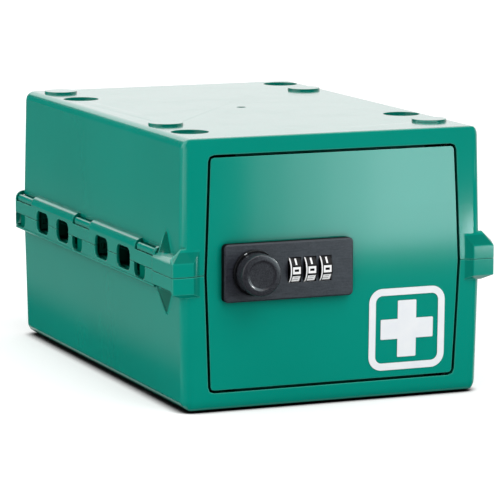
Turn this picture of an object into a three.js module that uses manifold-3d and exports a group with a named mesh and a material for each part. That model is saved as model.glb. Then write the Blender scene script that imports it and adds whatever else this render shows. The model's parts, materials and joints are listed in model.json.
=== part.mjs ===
// Medication lock box: two snap-together plastic shells, an inset door and a dial lock.
// Millimetres, +Z up. The door faces -Y, the box stands on z = 0, and the whole object, knob included,
// is centred on x = 0, y = 0.
import * as THREE from 'three';
import { mergeVertices } from 'three/addons/utils/BufferGeometryUtils.js';
import { ConvexGeometry } from 'three/addons/geometries/ConvexGeometry.js';
import Module from 'manifold-3d';

const wasm = await Module();
wasm.setup();

// Shells
const BODY_LENGTH = 305;
const BODY_WIDTH = 203;
const BODY_HEIGHT = 168;
const DRAFT_INSET = 1.6;
const WALL = 3.2;
const FRONT_WALL = 3.4;
const CORNER_RADIUS = 5.5;
const LEAST_CORNER_RADIUS = 0.8;
const TOP_EDGE_RADIUS = 6;
const FRONT_EDGE_RADIUS = 1;
const CAVITY_EDGE_RADIUS = 3;
const SEAM_GAP = 0.3;
const LIP_THICKNESS = 1.4;
const LIP_DEPTH = 3;
const LIP_CLEARANCE = 0.4;
const LIP_SETBACK = 7.6;

// Stacking pegs and the recesses that take them
const PEG_RADIUS = 11.1;
const PEG_HEIGHT = 1.5;
const PEG_INSET_X = 20;
const PEG_FRONT_INSET = 37;
const PEG_REAR_INSET = 25.8;
const PEG_STAGGER = 20.8;
const RECESS_CLEARANCE = 0.7;
const RECESS_EXTRA_DEPTH = 0.3;
const RECESS_PAD = 1.6;
const DIMPLE_RADIUS = 3;
const DIMPLE_DEPTH = 0.4;

// Door opening and its return flange
const FRAME_HEIGHT = 10.3;
const FRAME_WIDTH = 18;
const OPENING_BOW = 3.1;
const OPENING_CORNER_RADIUS = 4;
const FLANGE_THICKNESS = 3;
const FLANGE_DEPTH = 18.6;
const STOP_HALF_LENGTH = 64;
const STOP_HEIGHT = 4;
const STOP_THICKNESS = 3;
const STOP_CLEARANCE = 0.3;

// Snap rails along both sides
const RAIL_PROJECTION = 5.5;
const RAIL_PANEL = 2.1;
const RAIL_SETBACK = 2.5;
const MALE_PANEL_HEIGHT = 8.3;
const SHOULDER_RISE = 1.3;
const SHOULDER_WEB = 2.6;
const SHOULDER_CHAMFER = 1.5;
const FEMALE_PANEL_HEIGHT = 10.4;
const RAIL_LIP = 0.5;
const RAIL_LIP_HEIGHT = 1.2;
const RAIL_LIP_CHAMFER = 0.3;
const RAIL_END_CHAMFER = 2.5;
const STATION_COUNT = 3;
const STATION_FRONT_INSET = 18.3;
const STATION_REAR_INSET = 17.7;
const NOTCH_LENGTH = 32;
const FINGER_END_GAP = 2;
const FINGER_THICKNESS = 2;
const FINGER_WALL_GAP = 0.8;
const BEAD_RADIUS = 2.1;
const BEAD_SET_IN = 0.3;
const HOOK_CLEARANCE = 0.4;
const POCKET_OFFSET_Y = 7.4;
const POCKET_WIDTH = 19.5;
const POCKET_HEIGHT = 8.9;
const POCKET_CORNER_RADIUS = 4.5;
const WINDOW_WIDTH = 25;
const WINDOW_HALF_HEIGHT = 7.3;
const WINDOW_CORNER_RADIUS = 5;
const WINDOW_PITCH = 41;
const WINDOW_PAIR_SHIFT = -1;
const POCKET_MARGIN = 6;
const POCKET_LEDGE = 0.5;
const POCKET_BULGE = 5;
const POCKET_WALL = 1.6;

// Front lugs and their gussets
const LUG_PROJECTION = 7;
const LUG_PROUD = 3;
const LUG_LENGTH = 32.5;
const LUG_ROOT_INSET = 13.5;
const LUG_FACE_INSET = 6.5;
const LUG_FACE_HEIGHT = { tall: 8.2, short: 10.4 };
const LUG_ROOT_HEIGHT = { tall: 17.5, short: 13.4 };
const LUG_SIDE_HEIGHT = { tall: 11, short: 8 };
const LUG_TOP_CHAMFER = 2.8;
const LUG_TOP_RISE = 2.5;
const LUG_BODY_RISE = 2.5;
const LUG_BODY_LAP = 0.5;
const GUSSET_HEIGHT = 18;
const GUSSET_SETBACK = 28;
const GUSSET_THICKNESS = 4.5;
const GUSSET_FOOT = 16;
const GUSSET_LAP = 1;

// Door
const DOOR_CLEARANCE = 1.8;
const DOOR_RECESS = 0.3;
const DOOR_THICKNESS = 3.2;
const DOOR_BOW = 1.3;
const DOOR_BOW_STEPS = 12;
const DOOR_RIB = 2;
const DOOR_RIB_DEPTH = 5.5;
const DOOR_RIB_INSET_X = 4;
const DOOR_RIB_INSET_Z = 6;
const HINGE_INSET = 6.5;
const HINGE_SETBACK = 5;
const BARREL_RADIUS = 4.5;
const BARREL_END_GAP = 0.4;
const PIN_RADIUS = 2.5;
const PIN_CLEARANCE = 0.3;
const PIN_IN_DOOR = 14;
const PIN_IN_SOCKET = 5.4;
const SOCKET_WALL = 3;

// White first-aid sign on the door
const SIGN_INSET_X = 33.5;
const SIGN_INSET_Z = 32.2;
const SIGN_SIZE = 52;
const SIGN_LINE = 4.5;
const SIGN_RADIUS = 9;
const CROSS_LENGTH = 36;
const CROSS_WIDTH = 12.7;
const SIGN_THICKNESS = 0.3;
const SIGN_GAP = 0.1;

// Lock face and case
const LOCK_INSET_X = 8.2;
const LOCK_Z = 1;
const FACE_WIDTH = 86;
const FACE_HEIGHT = 36;
const FACE_THICKNESS = 5;
const FACE_RADIUS = 2;
const FACE_CHAMFER = 0.8;
const FACE_LAP_X = 5;
const FACE_LAP_Z = 4.5;
const SEAT_GAP = 0.3;
const CASE_RIM_X = 4;
const CASE_RIM_Z = 2;
const CASE_WALL = 1.8;
const CASE_DEPTH = 13.2;
const BOSS_RADIUS = 3;
const BOSS_INSET = 3.6;
const SCREW_RADIUS = 1.3;
const SCREW_CLEARANCE = 0.15;
const SCREW_HEAD_RADIUS = 2.6;
const SCREW_HEAD_HEIGHT = 1.6;
const SCREW_SLOT_WIDTH = 0.8;
const SCREW_SLOT_DEPTH = 0.6;
const SCREW_BITE = 5;

// Knob, spindle and cam
const KNOB_INSET_X = 19.3;
const KNOB_RADIUS = 13;
const KNOB_PROJECTION = 13.5;
const KNOB_EDGE_RADIUS = 2.2;
const KNOB_RIM = 2.9;
const KNOB_DISH_DEPTH = 0.6;
const KNOB_FACE_THICKNESS = 4;
const SKIRT_MARGIN = 1.2;
const SKIRT_HEIGHT = 2.6;
const SKIRT_CHAMFER = 0.5;
const MARK_SIZE = 1.8;
const MARK_DEPTH = 0.5;
const MARK_INSET = 0.2;
const MARK_CLEARANCE = 0.1;
const MARK_ANGLE = 118;
const SPINDLE_RADIUS = 4;
const SPINDLE_CLEARANCE = 0.3;
const SPINDLE_THREAD_RADIUS = 2.6;
const SPINDLE_SQUARE = 5.6;
const SPINDLE_TAIL = 1;
const CAM_GAP = 1.3;
const CAM_THICKNESS = 2.5;
const CAM_CATCH = 7.4;
const CAM_WIDTH = 14;
const CAM_CHAMFER = 2;
const WASHER_RADIUS = 6;
const WASHER_THICKNESS = 1;
const NUT_ACROSS_FLATS = 9;
const NUT_THICKNESS = 3.4;

// Number wheels and what reads them
const WHEEL_COUNT = 3;
const WHEELS_INSET_X = 29.5;
const WHEEL_PITCH = 10.3;
const WHEEL_RADIUS = 9.4;
const WHEEL_WIDTH = 7.6;
const WHEEL_RIM = 0.9;
const WHEEL_DEPTH = 6;
const WHEEL_CLEARANCE = 0.5;
const WINDOW_SIDE_CLEARANCE = 0.5;
const DIGITS = 10;
const AXLE_RADIUS = 1.5;
const AXLE_CLEARANCE = 0.3;
const CHEEK_THICKNESS = 2.4;
const CHEEK_HEIGHT = 8;
const CHEEK_GAP = 2.5;
const SLEEVE_WALL = 1.2;
const CODE_RING_RADIUS = 4.8;
const CODE_RING_THICKNESS = 1.3;
const CODE_NOTCH_WIDTH = 2.6;
const CODE_NOTCH_DEPTH = 1.6;
const RING_CLEARANCE = 0.4;
const RING_SIDE_CLEARANCE = 0.65;
const FENCE_REST_GAP = 1.5;
const FENCE_STOP_GAP = 0.1;
const FENCE_BAR = 2.2;
const FENCE_HEIGHT = 5;
const FENCE_END = 6;
const GUIDE_LENGTH = 3;
const GUIDE_THICKNESS = 2;
const TOOTH_THICKNESS = 1.7;
const TOOTH_CLEARANCE = 0.5;
const SPRING_THICKNESS = 0.6;
const SPRING_GAP = 0.5;
const SPRING_REACH = 7;
const SPRING_END_GAP = 1;
const SPRING_SLIT = 2;

// How far a cut runs past the face it opens, and how far a joined piece runs into its neighbour
const OVERRUN = 1;
const EMBED = 1;

// Flats in a rounded edge, and sides of a turned piece
const ROUND_STEPS = 4;
const SIDES = { small: 12, thin: 16, plain: 20, fine: 32 };

// Worked-out places, measured from the mid-height plane where the shells meet
const HALF_HEIGHT = BODY_HEIGHT / 2;
const HALF_WIDTH = BODY_WIDTH / 2;
const FRONT_Y = -BODY_LENGTH / 2;
const REAR_Y = BODY_LENGTH / 2;
const CAVITY_X = HALF_WIDTH - WALL;
const CAVITY_REAR_Y = REAR_Y - WALL;
const OPENING_HALF_HEIGHT = HALF_HEIGHT - FRAME_HEIGHT;
const OPENING_HALF_WIDTH = HALF_WIDTH - FRAME_WIDTH;
const FLANGE_REAR_Y = FRONT_Y + FLANGE_DEPTH;
const RAIL_X = HALF_WIDTH + RAIL_PROJECTION;
const RAIL_REAR_Y = REAR_Y - RAIL_SETBACK;
const LUG_X = HALF_WIDTH + LUG_PROJECTION;
const LUG_REAR_Y = FRONT_Y + LUG_LENGTH;
const RAIL_FRONT_Y = LUG_REAR_Y - EMBED;
const FIRST_STATION_Y = LUG_REAR_Y + STATION_FRONT_INSET;
const LAST_STATION_Y = RAIL_REAR_Y - STATION_REAR_INSET;
const STATION_PITCH = (LAST_STATION_Y - FIRST_STATION_Y) / (STATION_COUNT - 1);
const FINGER_LENGTH = NOTCH_LENGTH - 2 * FINGER_END_GAP;
const WALL_POCKET_HEIGHT = WINDOW_HALF_HEIGHT - POCKET_LEDGE;
const PEG_X = HALF_WIDTH - PEG_INSET_X;
const FOREMOST_PEG_Y = FRONT_Y + PEG_FRONT_INSET;
const REARMOST_PEG_Y = REAR_Y - PEG_REAR_INSET;
const RECESS_RADIUS = PEG_RADIUS + RECESS_CLEARANCE;
const RECESS_DEPTH = PEG_HEIGHT + RECESS_EXTRA_DEPTH;
const DOOR_Y = FRONT_Y + DOOR_RECESS;
const HINGE_X = OPENING_HALF_WIDTH - HINGE_INSET;
const HINGE_Y = FRONT_Y + HINGE_SETBACK;
const SIGN_X = OPENING_HALF_WIDTH - SIGN_INSET_X;
const SIGN_Z = SIGN_INSET_Z - OPENING_HALF_HEIGHT;
const LOCK_X = LOCK_INSET_X + FACE_WIDTH / 2 - OPENING_HALF_WIDTH;
const CUTOUT_WIDTH = FACE_WIDTH - 2 * FACE_LAP_X;
const CUTOUT_HEIGHT = FACE_HEIGHT - 2 * FACE_LAP_Z;
const FACE_BACK_Y = DOOR_Y - SEAT_GAP;
const FACE_FRONT_Y = FACE_BACK_Y - FACE_THICKNESS;
const CASE_FRONT_Y = DOOR_Y + DOOR_THICKNESS + SEAT_GAP;
const CASE_REAR_Y = CASE_FRONT_Y + CASE_DEPTH;
const CASE_FLOOR_Y = CASE_REAR_Y - CASE_WALL;
const SCREW_TIP_Y = CASE_FLOOR_Y - SCREW_BITE;
const KNOB_X = LOCK_X - FACE_WIDTH / 2 + KNOB_INSET_X;
const KNOB_FRONT_Y = FACE_FRONT_Y - KNOB_PROJECTION;
const SKIRT_RADIUS = KNOB_RADIUS + SKIRT_MARGIN;
const SKIRT_BACK_Y = FACE_FRONT_Y - SEAT_GAP;
const SKIRT_FRONT_Y = SKIRT_BACK_Y - SKIRT_HEIGHT;
const SPINDLE_START_Y = KNOB_FRONT_Y + KNOB_FACE_THICKNESS;
const CAM_FRONT_Y = FLANGE_REAR_Y + CAM_GAP;
const CAM_REAR_Y = CAM_FRONT_Y + CAM_THICKNESS;
const CAM_REACH = KNOB_X + OPENING_HALF_WIDTH + OPENING_BOW + CAM_CATCH;
const WASHER_FRONT_Y = CAM_REAR_Y + SEAT_GAP;
const WASHER_REAR_Y = WASHER_FRONT_Y + WASHER_THICKNESS;
const NUT_FRONT_Y = WASHER_REAR_Y + SEAT_GAP;
const NUT_REAR_Y = NUT_FRONT_Y + NUT_THICKNESS;
const SPINDLE_END_Y = NUT_REAR_Y + SPINDLE_TAIL;
const WHEEL_X = LOCK_X + FACE_WIDTH / 2 - WHEELS_INSET_X;
const AXLE_Y = FACE_FRONT_Y + WHEEL_DEPTH;
const SLEEVE_RADIUS = AXLE_RADIUS + AXLE_CLEARANCE + SLEEVE_WALL;
const FENCE_TIP_Y = AXLE_Y + CODE_RING_RADIUS + FENCE_REST_GAP;
const FENCE_REAR_Y = CASE_FLOOR_Y - SEAT_GAP;
const FENCE_FRONT_Y = FENCE_REAR_Y - FENCE_BAR;
const FENCE_TRAVEL = FENCE_REST_GAP - FENCE_STOP_GAP;
const MIDPLANE_Z = PEG_HEIGHT + HALF_HEIGHT;
const CENTRING_Y = -(KNOB_FRONT_Y + REAR_Y) / 2;

// Solids from three.js geometry
function solid(geometry) {
  const bare = geometry.clone();
  bare.deleteAttribute('normal');
  bare.deleteAttribute('uv');
  const merged = mergeVertices(bare, 1e-5);
  return new wasm.Manifold(new wasm.Mesh({
    numProp: 3,
    vertProperties: new Float32Array(merged.attributes.position.array),
    triVerts: new Uint32Array(merged.index.array),
  }));
}

function join(...solids) {
  return solids.reduce((whole, next) => whole.add(next));
}

function cut(whole, ...tools) {
  return tools.reduce((rest, tool) => rest.subtract(tool), whole);
}

function box(x0, x1, y0, y1, z0, z1) {
  const geometry = new THREE.BoxGeometry(x1 - x0, y1 - y0, z1 - z0);
  return solid(geometry.translate((x0 + x1) / 2, (y0 + y1) / 2, (z0 + z1) / 2));
}

// The outline's own axes become X and Z, and it is extruded from y0 to y1
function prismY(shape, y0, y1, curveSegments = 2) {
  const geometry = new THREE.ExtrudeGeometry(shape, { depth: y1 - y0, bevelEnabled: false, curveSegments });
  return solid(geometry.rotateX(Math.PI / 2).translate(0, y1, 0));
}

// The outline's own axes become Y and Z, and it is extruded from x0 to x1
function prismX(shape, x0, x1, curveSegments = 2) {
  const geometry = new THREE.ExtrudeGeometry(shape, { depth: x1 - x0, bevelEnabled: false, curveSegments });
  const turn = new THREE.Matrix4().makeBasis(
    new THREE.Vector3(0, 1, 0), new THREE.Vector3(0, 0, 1), new THREE.Vector3(1, 0, 0));
  return solid(geometry.applyMatrix4(turn).translate(x0, 0, 0));
}

function rodX(radius, x0, x1, y, z, sides = SIDES.plain) {
  const geometry = new THREE.CylinderGeometry(radius, radius, x1 - x0, sides).rotateZ(Math.PI / 2);
  return solid(geometry.translate((x0 + x1) / 2, y, z));
}

function rodY(radius, y0, y1, x, z, sides = SIDES.plain) {
  const geometry = new THREE.CylinderGeometry(radius, radius, y1 - y0, sides);
  return solid(geometry.translate(x, (y0 + y1) / 2, z));
}

function rodZ(radius, z0, z1, x, y, sides = SIDES.plain) {
  const geometry = new THREE.CylinderGeometry(radius, radius, z1 - z0, sides).rotateX(Math.PI / 2);
  return solid(geometry.translate(x, y, (z0 + z1) / 2));
}

function hull(points) {
  return solid(new ConvexGeometry(points.map((point) => new THREE.Vector3(...point))));
}

function polygon(points) {
  return new THREE.Shape(points.map(([a, b]) => new THREE.Vector2(a, b)));
}

function roundedRectangle(a0, a1, b0, b1, radius) {
  const shape = new THREE.Shape();
  shape.moveTo(a0 + radius, b0);
  shape.lineTo(a1 - radius, b0);
  shape.absarc(a1 - radius, b0 + radius, radius, -Math.PI / 2, 0);
  shape.lineTo(a1, b1 - radius);
  shape.absarc(a1 - radius, b1 - radius, radius, 0, Math.PI / 2);
  shape.lineTo(a0 + radius, b1);
  shape.absarc(a0 + radius, b1 - radius, radius, Math.PI / 2, Math.PI);
  shape.lineTo(a0, b0 + radius);
  shape.absarc(a0 + radius, b0 + radius, radius, Math.PI, 1.5 * Math.PI);
  return shape;
}

// A closed skin through level rings that all have the same number of points
function loft(rings) {
  const count = rings[0].length;
  const positions = rings.flat().flat();
  const triangles = [];
  for (let level = 0; level + 1 < rings.length; level += 1) {
    for (let i = 0; i < count; i += 1) {
      const a = level * count + i;
      const b = level * count + (i + 1) % count;
      triangles.push(a, b, b + count, a, b + count, a + count);
    }
  }
  const top = (rings.length - 1) * count;
  for (let i = 1; i + 1 < count; i += 1) {
    triangles.push(0, i + 1, i, top, top + i, top + i + 1);
  }
  const geometry = new THREE.BufferGeometry();
  geometry.setAttribute('position', new THREE.Float32BufferAttribute(positions, 3));
  geometry.setIndex(triangles);
  return solid(geometry);
}

function ring(halfX, front, rear, z, radius) {
  const corners = [[halfX, rear, 0], [-halfX, rear, 1], [-halfX, front, 2], [halfX, front, 3]];
  return corners.flatMap(([x, y, quarter]) => {
    const cx = x - Math.sign(x) * radius;
    const cy = y + (quarter < 2 ? -radius : radius);
    return Array.from({ length: ROUND_STEPS + 1 }, (_, step) => {
      const angle = (quarter + step / ROUND_STEPS) * Math.PI / 2;
      return [cx + radius * Math.cos(angle), cy + radius * Math.sin(angle), z];
    });
  });
}

function insetAt(z) {
  return DRAFT_INSET * Math.abs(z) / HALF_HEIGHT;
}

// The outside, or the hollow, of one shell: a drafted tub with its closed end rounded
function tub(bottomZ, topZ, offset, frontOffset, edgeRadius, frontRadius, cornerRadius) {
  const level = (z, sideInset, frontInset) => {
    const draft = insetAt(z);
    return ring(
      HALF_WIDTH - offset - draft - sideInset,
      FRONT_Y + frontOffset + draft + frontInset,
      REAR_Y - offset - draft - sideInset,
      z,
      Math.max(LEAST_CORNER_RADIUS, cornerRadius - sideInset),
    );
  };
  const rings = [level(bottomZ, 0, 0)];
  for (let step = 0; step <= ROUND_STEPS; step += 1) {
    const angle = (step / ROUND_STEPS) * Math.PI / 2;
    const z = topZ - edgeRadius + edgeRadius * Math.sin(angle);
    const overFront = Math.max(0, z - (topZ - frontRadius));
    const frontInset = frontRadius - Math.sqrt(Math.max(0, frontRadius ** 2 - overFront ** 2));
    rings.push(level(z, edgeRadius * (1 - Math.cos(angle)), frontInset));
  }
  return loft(rings);
}

// The door opening: its sides are two straight lines that meet at mid height
function openingShape(inset) {
  const halfX = OPENING_HALF_WIDTH - inset;
  const halfZ = OPENING_HALF_HEIGHT - inset;
  const midX = halfX + OPENING_BOW;
  const radius = Math.max(LEAST_CORNER_RADIUS, OPENING_CORNER_RADIUS - inset);
  const lean = OPENING_BOW * radius / halfZ;
  const shape = new THREE.Shape();
  shape.moveTo(-halfX + radius, -halfZ);
  shape.lineTo(halfX - radius, -halfZ);
  shape.quadraticCurveTo(halfX, -halfZ, halfX + lean, -halfZ + radius);
  shape.lineTo(midX, 0);
  shape.lineTo(halfX + lean, halfZ - radius);
  shape.quadraticCurveTo(halfX, halfZ, halfX - radius, halfZ);
  shape.lineTo(-halfX + radius, halfZ);
  shape.quadraticCurveTo(-halfX, halfZ, -halfX - lean, halfZ - radius);
  shape.lineTo(-midX, 0);
  shape.lineTo(-halfX - lean, -halfZ + radius);
  shape.quadraticCurveTo(-halfX, -halfZ, -halfX + radius, -halfZ);
  return shape;
}

// The pegs on the right stand further forward than those on the left, so that turned-over shells mesh
function pegPlaces() {
  return [
    [-PEG_X, FOREMOST_PEG_Y + 2 * PEG_STAGGER], [-PEG_X, REARMOST_PEG_Y],
    [PEG_X, FOREMOST_PEG_Y], [PEG_X, REARMOST_PEG_Y - 2 * PEG_STAGGER],
  ];
}

function stationCentres() {
  return Array.from({ length: STATION_COUNT }, (_, i) => FIRST_STATION_Y + i * STATION_PITCH);
}

// One pair of windows lies between each two stations
function windowPairCentres() {
  return stationCentres().slice(1).map((y) => y - STATION_PITCH / 2 + WINDOW_PAIR_SHIFT);
}

function windowCentres() {
  return windowPairCentres().flatMap((y) => [y - WINDOW_PITCH / 2, y + WINDOW_PITCH / 2]);
}

// Door opening flange, stop and the sockets for the hinge pins
function frontFrame() {
  const outer = prismY(openingShape(-FLANGE_THICKNESS), FRONT_Y + FRONT_WALL / 2, FLANGE_REAR_Y);
  const inner = prismY(openingShape(0), FRONT_Y - OVERRUN, FLANGE_REAR_Y + OVERRUN);
  const stopY = DOOR_Y + DOOR_BOW + DOOR_THICKNESS + STOP_CLEARANCE;
  const stop = box(-STOP_HALF_LENGTH, STOP_HALF_LENGTH, stopY, stopY + STOP_THICKNESS,
    OPENING_HALF_HEIGHT - STOP_HEIGHT, OPENING_HALF_HEIGHT + EMBED);
  const sockets = [-HINGE_X, HINGE_X].map((x) => rodZ(PIN_RADIUS + SOCKET_WALL, OPENING_HALF_HEIGHT,
    HALF_HEIGHT - WALL + EMBED, x, HINGE_Y));
  return join(outer.subtract(inner), stop, ...sockets);
}

function pinSockets() {
  return [-HINGE_X, HINGE_X].map((x) => rodZ(PIN_RADIUS + PIN_CLEARANCE, OPENING_HALF_HEIGHT - OVERRUN,
    OPENING_HALF_HEIGHT + PIN_IN_SOCKET + PIN_CLEARANCE, x, HINGE_Y));
}

// Panel that overlaps the seam on the left of a shell: its round shoulder runs up to the wall
function maleRail() {
  const shoulder = new THREE.Shape();
  const innerX = -RAIL_X + RAIL_PANEL;
  const wallX = -HALF_WIDTH + EMBED;
  const arcZ = MALE_PANEL_HEIGHT + SHOULDER_RISE;
  shoulder.moveTo(-RAIL_X, SEAM_GAP / 2);
  shoulder.lineTo(innerX, SEAM_GAP / 2);
  shoulder.lineTo(innerX, arcZ);
  shoulder.lineTo(innerX + SHOULDER_CHAMFER, arcZ + SHOULDER_WEB);
  shoulder.lineTo(wallX, arcZ + SHOULDER_WEB);
  shoulder.lineTo(wallX, arcZ + RAIL_PROJECTION);
  shoulder.lineTo(-HALF_WIDTH, arcZ + RAIL_PROJECTION);
  shoulder.absarc(-HALF_WIDTH, arcZ, RAIL_PROJECTION, Math.PI / 2, Math.PI);
  const rail = prismY(shoulder, RAIL_FRONT_Y, RAIL_REAR_Y);
  const endPlate = box(-RAIL_X, wallX, RAIL_REAR_Y - RAIL_PANEL, RAIL_REAR_Y, SEAM_GAP / 2, MALE_PANEL_HEIGHT);
  const notches = stationCentres().map((y) => box(-RAIL_X - OVERRUN, -HALF_WIDTH, y - NOTCH_LENGTH / 2,
    y + NOTCH_LENGTH / 2, MALE_PANEL_HEIGHT, arcZ + RAIL_PROJECTION + OVERRUN));
  return cut(join(rail, endPlate), ...notches);
}

// Panel and floor on the right of a shell, with the snap fingers that hook over the other shell's panel
function femaleRail() {
  const lipX = RAIL_X + RAIL_LIP;
  const lipZ = FEMALE_PANEL_HEIGHT - RAIL_LIP_HEIGHT;
  const wallX = HALF_WIDTH - EMBED;
  const panel = polygon([
    [RAIL_X, SEAM_GAP / 2], [RAIL_X, lipZ], [lipX, lipZ], [lipX, FEMALE_PANEL_HEIGHT - RAIL_LIP_CHAMFER],
    [lipX - RAIL_LIP_CHAMFER, FEMALE_PANEL_HEIGHT], [wallX, FEMALE_PANEL_HEIGHT],
    [wallX, FEMALE_PANEL_HEIGHT - RAIL_PANEL], [RAIL_X - RAIL_PANEL, FEMALE_PANEL_HEIGHT - RAIL_PANEL],
    [RAIL_X - RAIL_PANEL, SEAM_GAP / 2],
  ]);
  const rail = prismY(panel, RAIL_FRONT_Y, RAIL_REAR_Y);
  const endPlate = box(wallX, RAIL_X, RAIL_REAR_Y - RAIL_PANEL, RAIL_REAR_Y,
    SEAM_GAP / 2, FEMALE_PANEL_HEIGHT - RAIL_PANEL / 2);
  const pockets = stationCentres().map((y) => {
    const centre = y + POCKET_OFFSET_Y;
    const outline = roundedRectangle(centre - POCKET_WIDTH / 2, centre + POCKET_WIDTH / 2,
      -POCKET_HEIGHT, POCKET_HEIGHT, POCKET_CORNER_RADIUS);
    return prismX(outline, RAIL_X - RAIL_PANEL - OVERRUN, lipX + OVERRUN);
  });
  const beyondY = RAIL_REAR_Y + OVERRUN;
  const beyondZ = FEMALE_PANEL_HEIGHT + OVERRUN;
  const corner = prismX(polygon([
    [beyondY, beyondZ], [RAIL_REAR_Y - RAIL_END_CHAMFER - OVERRUN, beyondZ],
    [beyondY, FEMALE_PANEL_HEIGHT - RAIL_END_CHAMFER - OVERRUN],
  ]), HALF_WIDTH, lipX + OVERRUN);
  return join(cut(join(rail, endPlate), ...pockets, corner), ...stationCentres().map(snapFinger));
}

function snapFinger(y) {
  const innerX = HALF_WIDTH + FINGER_WALL_GAP;
  const outerX = innerX + FINGER_THICKNESS;
  const hookZ = -MALE_PANEL_HEIGHT - HOOK_CLEARANCE;
  const beadX = innerX + BEAD_RADIUS - BEAD_SET_IN;
  const beadZ = hookZ - BEAD_RADIUS;
  const y0 = y - FINGER_LENGTH / 2;
  const y1 = y + FINGER_LENGTH / 2;
  const blade = box(innerX, outerX, y0, y1, beadZ, FEMALE_PANEL_HEIGHT - RAIL_PANEL + EMBED);
  const bead = rodY(BEAD_RADIUS, y0, y1, beadX, beadZ, SIDES.thin);
  const nose = box((innerX + outerX) / 2, beadX + BEAD_RADIUS, y0, y1, beadZ, hookZ);
  return join(blade, bead, nose);
}

// Block at each front corner, proud of the frame, that closes the end of the rail
function lug(side, size) {
  const rootZ = LUG_ROOT_HEIGHT[size];
  const sideZ = LUG_SIDE_HEIGHT[size];
  const faceZ = LUG_FACE_HEIGHT[size];
  const rootX = HALF_WIDTH - LUG_ROOT_INSET;
  const faceX = HALF_WIDTH - LUG_FACE_INSET;
  const rootY = FRONT_Y + insetAt(rootZ) + LUG_BODY_LAP;
  const bodyZ = Math.min(sideZ, faceZ);
  const base = [[rootX, 0], [LUG_X, 0], [LUG_X, sideZ], [HALF_WIDTH, rootZ], [rootX, rootZ]];
  const face = [[faceX, 0], [LUG_X, 0], [LUG_X, faceZ], [faceX, faceZ]];
  const place = (points, y) => points.map(([x, z]) => [side * x, y, z || SEAM_GAP / 2]);
  const head = hull([...place(base, rootY), ...place(face, FRONT_Y - LUG_PROUD)]);
  const body = polygon([
    [HALF_WIDTH - EMBED, SEAM_GAP / 2], [LUG_X, SEAM_GAP / 2], [LUG_X, bodyZ],
    [LUG_X - LUG_TOP_CHAMFER, bodyZ + LUG_TOP_RISE], [HALF_WIDTH - EMBED, FEMALE_PANEL_HEIGHT + LUG_BODY_RISE],
  ].map(([x, z]) => [side * x, z]));
  return join(head, prismY(body, rootY - LUG_BODY_LAP, LUG_REAR_Y));
}

function gusset(side, size) {
  const footZ = LUG_FACE_HEIGHT[size] - GUSSET_LAP;
  const topZ = FEMALE_PANEL_HEIGHT + GUSSET_HEIGHT;
  const wallX = side * (HALF_WIDTH - EMBED);
  const outerX = side * (LUG_X - GUSSET_LAP);
  const rearY = FRONT_Y + GUSSET_SETBACK;
  const frontY = rearY - GUSSET_THICKNESS;
  return hull([
    [wallX, rearY, topZ], [wallX, frontY, topZ], [outerX, rearY, footZ], [outerX, frontY, footZ],
    [wallX, rearY, footZ], [wallX, rearY - GUSSET_FOOT, footZ],
  ]);
}

// Lip on the left of the seam and rabbet on the right, so that two equal shells locate each other
function seamLips() {
  const sideEndY = CAVITY_REAR_Y - CAVITY_EDGE_RADIUS;
  const rearEndX = CAVITY_X - CAVITY_EDGE_RADIUS;
  return join(
    box(-CAVITY_X - LIP_THICKNESS, -CAVITY_X, FLANGE_REAR_Y + LIP_SETBACK, sideEndY, -LIP_DEPTH, EMBED),
    box(-rearEndX, -LIP_CLEARANCE, CAVITY_REAR_Y, CAVITY_REAR_Y + LIP_THICKNESS, -LIP_DEPTH, EMBED),
  );
}

function seamRabbets() {
  const sideEndY = CAVITY_REAR_Y - CAVITY_EDGE_RADIUS + LIP_CLEARANCE;
  const rearEndX = CAVITY_X - CAVITY_EDGE_RADIUS + LIP_CLEARANCE;
  const thickness = LIP_THICKNESS + LIP_CLEARANCE;
  const depth = LIP_DEPTH + LIP_CLEARANCE;
  return join(
    box(CAVITY_X - OVERRUN, CAVITY_X + thickness, FLANGE_REAR_Y + LIP_SETBACK - LIP_CLEARANCE, sideEndY,
      -OVERRUN, depth),
    box(0, rearEndX, CAVITY_REAR_Y - OVERRUN, CAVITY_REAR_Y + thickness, -OVERRUN, depth),
  );
}

function sideBox(side, from, to, y0, y1, z0, z1) {
  return box(Math.min(side * from, side * to), Math.max(side * from, side * to), y0, y1, z0, z1);
}

function windowCuts() {
  const openings = windowCentres().map((y) => roundedRectangle(y - WINDOW_WIDTH / 2, y + WINDOW_WIDTH / 2,
    -WINDOW_HALF_HEIGHT, WINDOW_HALF_HEIGHT, WINDOW_CORNER_RADIUS));
  const left = openings.map((shape) => prismX(shape, -LUG_X, -HALF_WIDTH));
  const right = openings.map((shape) => prismX(shape, HALF_WIDTH, LUG_X));
  return [...left, ...right];
}

// Blind pockets in both side walls, one behind each pair of windows, that bulge into the hollow
function wallPockets() {
  const half = (WINDOW_PITCH + WINDOW_WIDTH) / 2 + POCKET_MARGIN;
  const innerX = CAVITY_X - POCKET_BULGE;
  const places = [-1, 1].flatMap((side) => windowPairCentres().map((y) => [side, y]));
  const bulges = places.map(([side, y]) => sideBox(side, innerX, CAVITY_X + EMBED, y - half - POCKET_WALL,
    y + half + POCKET_WALL, SEAM_GAP / 2, WALL_POCKET_HEIGHT + POCKET_WALL));
  const hollows = places.map(([side, y]) => sideBox(side, innerX + POCKET_WALL, HALF_WIDTH + OVERRUN,
    y - half, y + half, -LIP_DEPTH - OVERRUN, WALL_POCKET_HEIGHT));
  return { bulges, hollows };
}

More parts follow.
